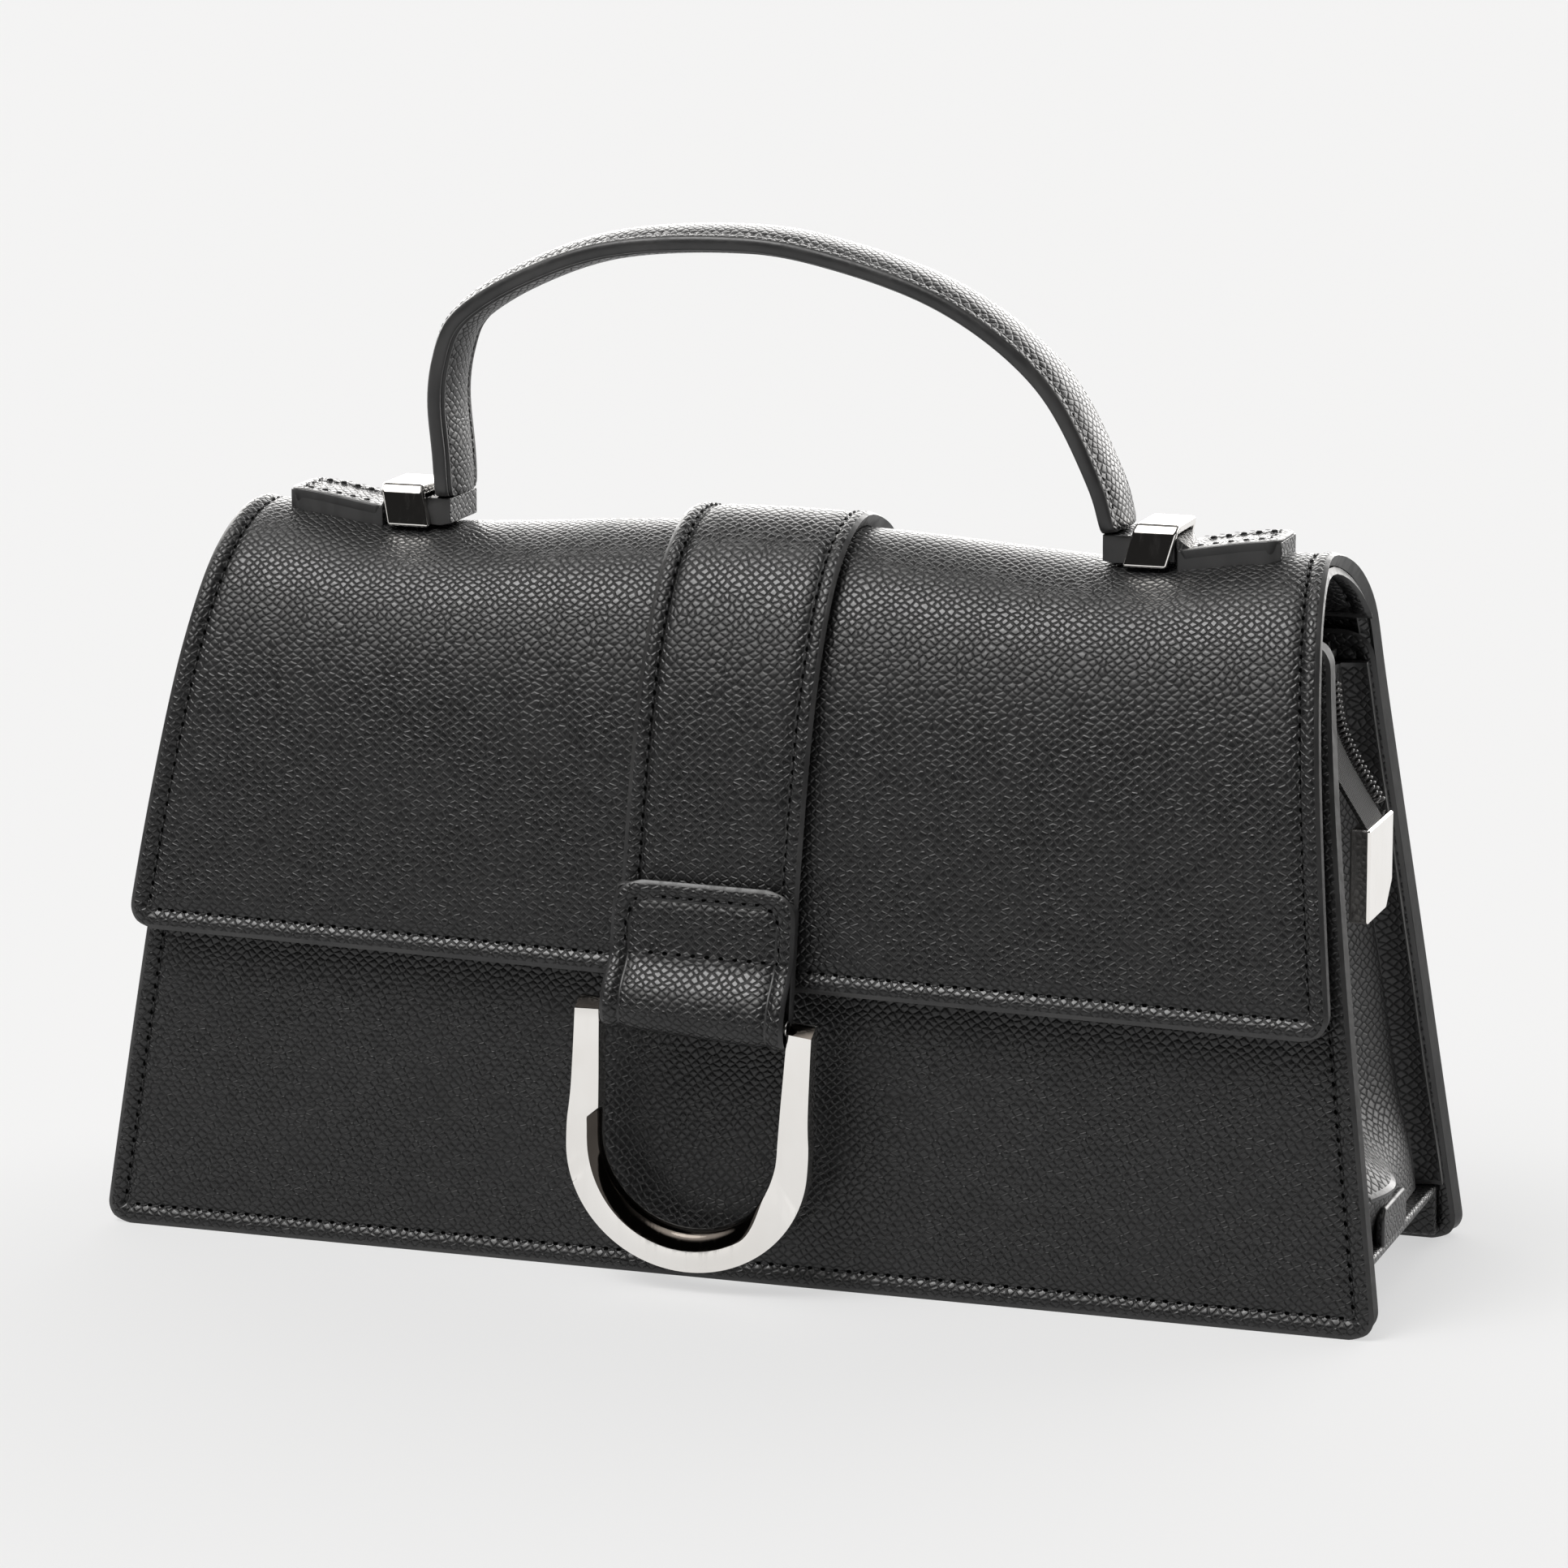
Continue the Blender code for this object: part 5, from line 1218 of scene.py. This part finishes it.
def make_ring():
    """Horseshoe ring with a hollow ground bevel on its lower inner edge, and its bar; the hollow
    and the prong tops are darkened nickel, painted dark reflection and shade.
    """
    outer, inner = ring_lines()
    front, back = RING_Y - RING_HALF_THICK, RING_Y + RING_HALF_THICK
    chamfer = PRONG_CHAMFER / inner.length
    shares = [0.0, chamfer] + [0.03 + 0.94 * i / 120 for i in range(121)] + [1 - chamfer, 1.0]
    shares = sorted(shares + [GROUND_START + 0.0005, GROUND_START + 0.0040])

    def place(share, k):
        a, b = outer.at(outer.length * share), inner.at(inner.length * share)
        across = (b - a) / np.linalg.norm(b - a)
        wide = (GROUND_WIDTH * smooth_step(share, GROUND_START, GROUND_START + 0.0045)
                * (0.76 + 0.24 * smooth_step(share, *GROUND_WIDENS)))
        wide = wide * (1 - smooth_step(share, *GROUND_FADES)) + GROUND_LEAST
        face = front + CHAMFER_DEPTH * max(1 - min(share, 1 - share) / chamfer, 0.0)
        ground = [(b - across * wide * (1 - far), max(face, front + wide * deep))
                  for far, deep in GROUND]
        (x, z), y = [(a, back), (a, face), *ground, (b, back)][k % 8]
        rise = z - BAR_Z
        return (x * math.cos(RING_TILT) + rise * math.sin(RING_TILT) + RING_SHIFT, y,
                BAR_Z - x * math.sin(RING_TILT) + rise * math.cos(RING_TILT))

    ring = add_sheet("horseshoe", shares, range(9), place,
                     lambda share, k: (share * 0.12, k * 0.004), [NICKEL, SHADE_PAINTED_NICKEL])
    # The hollow bevel and the prong tops take the darkened nickel: painted dark reflection and
    # shade
    for face in ring.data.polygons:
        spots = [divmod(ring.data.loops[i].vertex_index, len(shares))
                 for i in face.loop_indices]
        rows, along = [k for k, i in spots], [shares[i] for k, i in spots]
        hollow = (2 <= min(rows) and max(rows) <= 6 and min(along) > GROUND_START
                  and max(along) < GROUND_END)
        top = 1 <= min(rows) and max(rows) <= 7 and (max(along) <= chamfer * 1.01
                                                     or min(along) >= 1 - chamfer * 1.01)
        face.material_index = 1 if hollow or top else 0
    close_shell(ring, 0.000005, bpy.ops.mesh.fill_holes, sides=12)
    round_edges(ring, 0.00025, 2, 40)
    apply_modifiers(ring)
    bpy.ops.object.shade_smooth_by_angle(angle=math.radians(36))
    lay_pattern(ring)
    settle(ring, "ring", "polished_nickel", "horseshoe_ring")
    dress("ring_bar", "swing_bar", METAL, "ring", 0.0002,
          lambda x, y, z: (x + RING_SHIFT, y, z))


# Handle

STRAP_TOP = 0.15178
STRAP_ROUND = 0.0045
FOOT_Z = STRAP_TOP - STRAP_ROUND * 0.80
HANDLE_FOOT_X = 0.0702
HANDLE_RISE = 0.0551
HANDLE_Y = DEPTH_SHIFT
HANDLE_SEAM_END = 0.006
HANDLE_LINE = Line([(HANDLE_FOOT_X * across, FOOT_Z + HANDLE_RISE * up) for across, up in (
    (-1.0, 0.0), (-1.006, 0.17), (-1.02, 0.38), (-1.0, 0.55), (-0.945, 0.69), (-0.76, 0.84),
    (-0.50, 0.96), (-0.17, 1.0), (0.12, 0.97), (0.50, 0.82), (0.79, 0.555), (0.95, 0.21),
    (1.0, 0.0))])

# Sections of the handle: across the strap, out of it, and 1 where it is painted
COVER_SECTION = mirrored([
    (-0.0084, -0.0015, 1), (-0.0089, -0.0012, 1), (-0.00905, -0.0005, 1),
    (-0.00905, 0.0005, 1), (-0.0088, 0.0012, 1), (-0.0083, 0.0015, 0), (-0.0074, 0.0018, 0),
    (-0.0067, 0.0017, 0), (-0.0060, 0.0020, 0), (-0.0046, 0.0026, 0), (-0.0024, 0.0029, 0),
    (0.0, 0.0030, 0)]) + mirrored([
        (0.0078, -0.0014, 1), (0.0078, -0.0002, 1), (0.0054, 0.0003, 1), (0.0044, 0.0019, 1),
        (0.0, 0.0023, 1)])
UNDER_SECTION = mirrored([
    (-0.0077, -0.0003, 0), (-0.0077, -0.0012, 0), (-0.0073, -0.0019, 1),
    (-0.0066, -0.0019, 0), (-0.0062, -0.0015, 0), (-0.0042, -0.0024, 0), (0.0, -0.0029, 0)])
CORE_SECTION = mirrored([(-0.0048, 0.0003, 0), (-0.0030, 0.0012, 0), (0.0, 0.0017, 0)])


def handle_point(across, t, out):
    """Point of the handle: across the strap, which is narrow at its foot, along it and out."""
    point, way = HANDLE_LINE.at(t), HANDLE_LINE.way(t)
    x, z = point[0] - way[1] * out, point[1] + way[0] * out
    below = min(max((STRAP_TOP - z) / STRAP_ROUND, 0.0), 1.0)
    return (x, HANDLE_Y + across * (1.0 - below ** 2.5) ** 0.4, z)


def make_handle():
    """Padded arch: a domed cover with painted sides over a core, and a flat underside."""
    count, length = 64, HANDLE_LINE.length
    ts = [0.0008, 0.002, 0.004, 0.007, 0.010, 0.014]
    ts = ts + [ts[-1] + (length - 2 * ts[-1]) * i / count for i in range(1, count)] + [
        length - t for t in reversed(ts)]

    def swept(name, section, finishes, slot, node):
        loop = section + section[:1]
        piece = add_sheet(name, loop, ts, lambda spot, t: handle_point(spot[0], t, spot[1]),
                          lambda spot, t: (spot[0], t), finishes)
        for face in piece.data.polygons:
            face.material_index = max(loop[piece.data.loops[k].vertex_index % len(loop)][2]
                                      for k in face.loop_indices)
        close_shell(piece, 0.000004, bpy.ops.mesh.edge_face_add)
        smooth_over(piece)
        apply_modifiers(piece)
        bpy.ops.object.shade_smooth()
        settle(piece, "handle", slot, node)

    swept("handle_cover_leather", COVER_SECTION, *OUTER, "handle_cover")
    swept("handle_inner_leather", UNDER_SECTION, *INNER, "handle_underside")
    swept("handle_felt", CORE_SECTION, [FELT, FELT], "padding", "handle_core")

    frames = []
    path_length = length - 2 * HANDLE_SEAM_END
    steps = int(path_length / STITCH_PITCH)
    for across, out in ((-0.0067, 0.0016), (0.0067, 0.0016), (-0.0062, -0.0016),
                        (0.0062, -0.0016)):
        for i in range(steps):
            t = HANDLE_SEAM_END + (i + 0.5) * path_length / steps
            here = Vector(handle_point(across, t, out))
            along = (Vector(handle_point(across, t + STITCH_REACH, out))
                     - Vector(handle_point(across, t - STITCH_REACH, out))).normalized()
            up = (Vector(handle_point(across, t, out + 0.0005)) - here) * math.copysign(1, out)
            up = (up - along * up.dot(along)).normalized()
            frames.append((here, along, up.cross(along), up))
    settle(copies("handle_stitches", STITCH, frames, THREAD, PAINTED_HOLE_SHADE), "handle",
           "grained_leather")


LOOP_FOOT, LOOP_HEIGHT, LOOP_LEAN = 0.1430, 0.0085, math.radians(14)
END_START, END_LENGTH, END_HALF = 0.0838, 0.0205, 0.0076
END_PLY, END_LIFT, END_INSET = 0.0029, 0.0034, 0.0026
NECK_INNER, NECK_OUTER, NECK_MIDDLE_Z = 0.0738, 0.0835, 0.1468


def neck_shape(x, y, z):
    """The neck between strap and end tab: wide and upright at its inner end, low outside."""
    if abs(x) > NECK_OUTER:
        return (x, HANDLE_Y + (y - HANDLE_Y) * 0.94, z - 0.0024)
    if abs(x) < NECK_INNER:
        return (x + math.copysign(NECK_INNER - abs(x), x) * 0.22,
                HANDLE_Y + (y - HANDLE_Y) * 1.24,
                z + (0.0021 if z > NECK_MIDDLE_Z else -0.0009))
    return (x, y, z)


def loop_shape(x, y, z):
    """A metal loop that leans outwards and narrows a little to its top."""
    up = z - LOOP_FOOT
    return (x + math.copysign(1.0, x) * (up - 0.0043) * math.tan(LOOP_LEAN),
            HANDLE_Y + (y - HANDLE_Y) * (1.03 - 0.20 * up / LOOP_HEIGHT), z)


def make_handle_ends():
    """Strap ends on the flap under their metal loops: a low neck and a sewn tab."""
    for side, word in ((-1, "left"), (1, "right")):
        neck = refine("handle_end_" + word, "neck_" + word, OUTER[0], 0.0004, neck_shape)
        for face in neck.data.polygons:
            face.material_index = 1 if abs(face.normal.y) > 0.6 else 0

        def tab_point(y, t, lift):
            x = END_START + t
            crest = hide_surface(x, CREST_AT - (HANDLE_Y - CREST[0]), 0.0)[2]
            return (side * x, HANDLE_Y + y, crest + END_LIFT + 0.5 * lift)

        tab = Cut(tab_point, lambda t: END_HALF, END_LENGTH, (0.0008, 0.0030), cell=0.0025,
                  seed=7.0)
        piece = tab.sheet("end_tab_" + word, OUTER[0])
        face_out(piece, (0.0, 0.0, 1.0))
        thicken(piece, END_PLY, 0.0008)
        select_only(piece)
        neck.select_set(True)
        bpy.ops.object.join()
        settle(piece, "flap", "grained_leather", "handle_end_" + word)
        far, wide = END_LENGTH - END_INSET, END_HALF - END_INSET
        path = [(-wide, END_INSET), (-wide, far), (wide, far), (wide, END_INSET)]
        sew("end_stitches_" + word, tab, [path[:2], path[1:3], path[2:]], "flap")
        dress("handle_loop_" + word, "metal_loop_" + word, METAL, "flap", 0.0007, loop_shape)


# Zip

ZIP_HEIGHT = 0.1240
ZIP_Y = 0.0083987
ZIP_START, ZIP_END = -0.0930, 0.0865
COIL_PITCH = 0.00125
TAIL_X, TAIL_TOP = 0.11118, 0.1240
TAIL_FRONT = ZIP_Y - 0.0010 - 0.0100 + 0.0009
TAIL_WIDE = 0.0130
TAIL_PITCH, TAIL_COIL_START = 0.0012, 0.0045
TAIL_LINE = Line([(TAIL_X, TAIL_TOP), (TAIL_X + 0.0013, TAIL_TOP - 0.0116),
                  (TAIL_X + 0.0044, TAIL_TOP - 0.0191), (TAIL_X + 0.0105, TAIL_TOP - 0.0290)])


def coil_shape():
    """One turn of the zip's coil, lying across its chain."""
    bpy.ops.mesh.primitive_torus_add(major_segments=10, minor_segments=5, major_radius=0.0008,
                                     minor_radius=0.00028)
    shape = bpy.context.active_object
    for vertex in shape.data.vertices:
        vertex.co.z *= 1.1
        vertex.co.y *= 1.05
    points = np.array([v.co for v in shape.data.vertices])
    faces = [list(f.vertices) for f in shape.data.polygons]
    bpy.data.objects.remove(shape)
    return points, faces


def make_zip():
    """Two leaves with their coils, the slider and its pull, and the ends that stay shut."""
    turn = coil_shape()
    count = int((ZIP_END - ZIP_START) / COIL_PITCH)
    for word, side in (("front", -1), ("back", 1)):
        body = "zip_" + word + "_leaf"
        dress("zip_tape_" + word, "woven_tape_" + word, ZIP_TAPE, body, 0.0002)
        frames = [((ZIP_START + (i + 0.5) * COIL_PITCH, ZIP_Y + side * 0.0014, ZIP_HEIGHT),
                   Vector((0.25, 1.0, 0.0)).normalized(), Vector((0.0, 0.0, 1.0)),
                   Vector((1.0, -0.25, 0.0)).normalized()) for i in range(count)]
        settle(copies("coil_" + word, turn, frames, COIL), body, "zip_coil",
               "zip_chain_" + word)
    for word in ("left", "right"):
        dress("zip_end_" + word, "shut_tape_" + word, ZIP_TAPE, "bag", 0.0002)
    for node, name, body in (("zip_slider", "slider_body", "slider"),
                             ("slider_bail", "slider_bridge", "slider"),
                             ("zip_pull", "slider_pull", "pull")):
        dress(node, name, METAL, body, 0.0003)


def tail_point(y, t, lift):
    """Point of the tail's outer side."""
    point, way = TAIL_LINE.at(t), TAIL_LINE.way(t)
    x, z = point + np.array([-way[1], way[0]]) * (lift + 0.0004)
    return (x, y, z)


def make_tail():
    """Free tail of the zip: tape, a double row of coil and a metal cap."""
    length = TAIL_LINE.length + 0.002
    tape = add_sheet("tail_tape", [TAIL_FRONT + TAIL_WIDE * i / 10 for i in range(11)],
                     [length * i / 14 for i in range(15)],
                     lambda y, t: tail_point(y, t, 0.0), lambda y, t: (y, t), [TAPE])
    face_out(tape, (1.0, 0.0, 0.0))
    thicken(tape, 0.0008, 0.0002)
    settle(tape, "tail", "lining_cloth", "zip_tail_tape")
    frames = []
    for row, tilt in enumerate((-0.3, 0.3)):
        y = TAIL_FRONT + TAIL_WIDE + 0.0014 + 0.0021 * row
        for i in range(int((TAIL_LINE.length - TAIL_COIL_START) / TAIL_PITCH)):
            t = TAIL_COIL_START + (i + 0.5 * row) * TAIL_PITCH
            along = (Vector(tail_point(y, t + 0.0005, 0.0))
                     - Vector(tail_point(y, t - 0.0005, 0.0))).normalized()
            across = (Vector((0.0, 1.0, 0.0)) + along * tilt).normalized()
            out = across.cross(along).normalized()
            here = Vector(tail_point(y, t, 0.0002))
            frames.append((here, across, out, across.cross(out)))
    settle(copies("tail_coil", coil_shape(), frames, COIL), "tail", "zip_coil",
           "zip_tail_chain")
    dress("zip_end_cap", "tail_cap", METAL, "tail", 0.0006)


make_camera()
bpy.context.scene.view_settings.view_transform = 'Standard'
make_world()
make_lamp("key", 0.95, 24.0, -40.0, 61.0)
make_lamp("back", 0.5, 50.0, 165.0, 42.0)
make_floor()
make_panels()
make_ends()
make_base()
make_lining()
make_snap()
make_band_and_tab()
make_ring()
make_handle()
make_handle_ends()
make_zip()
make_tail()
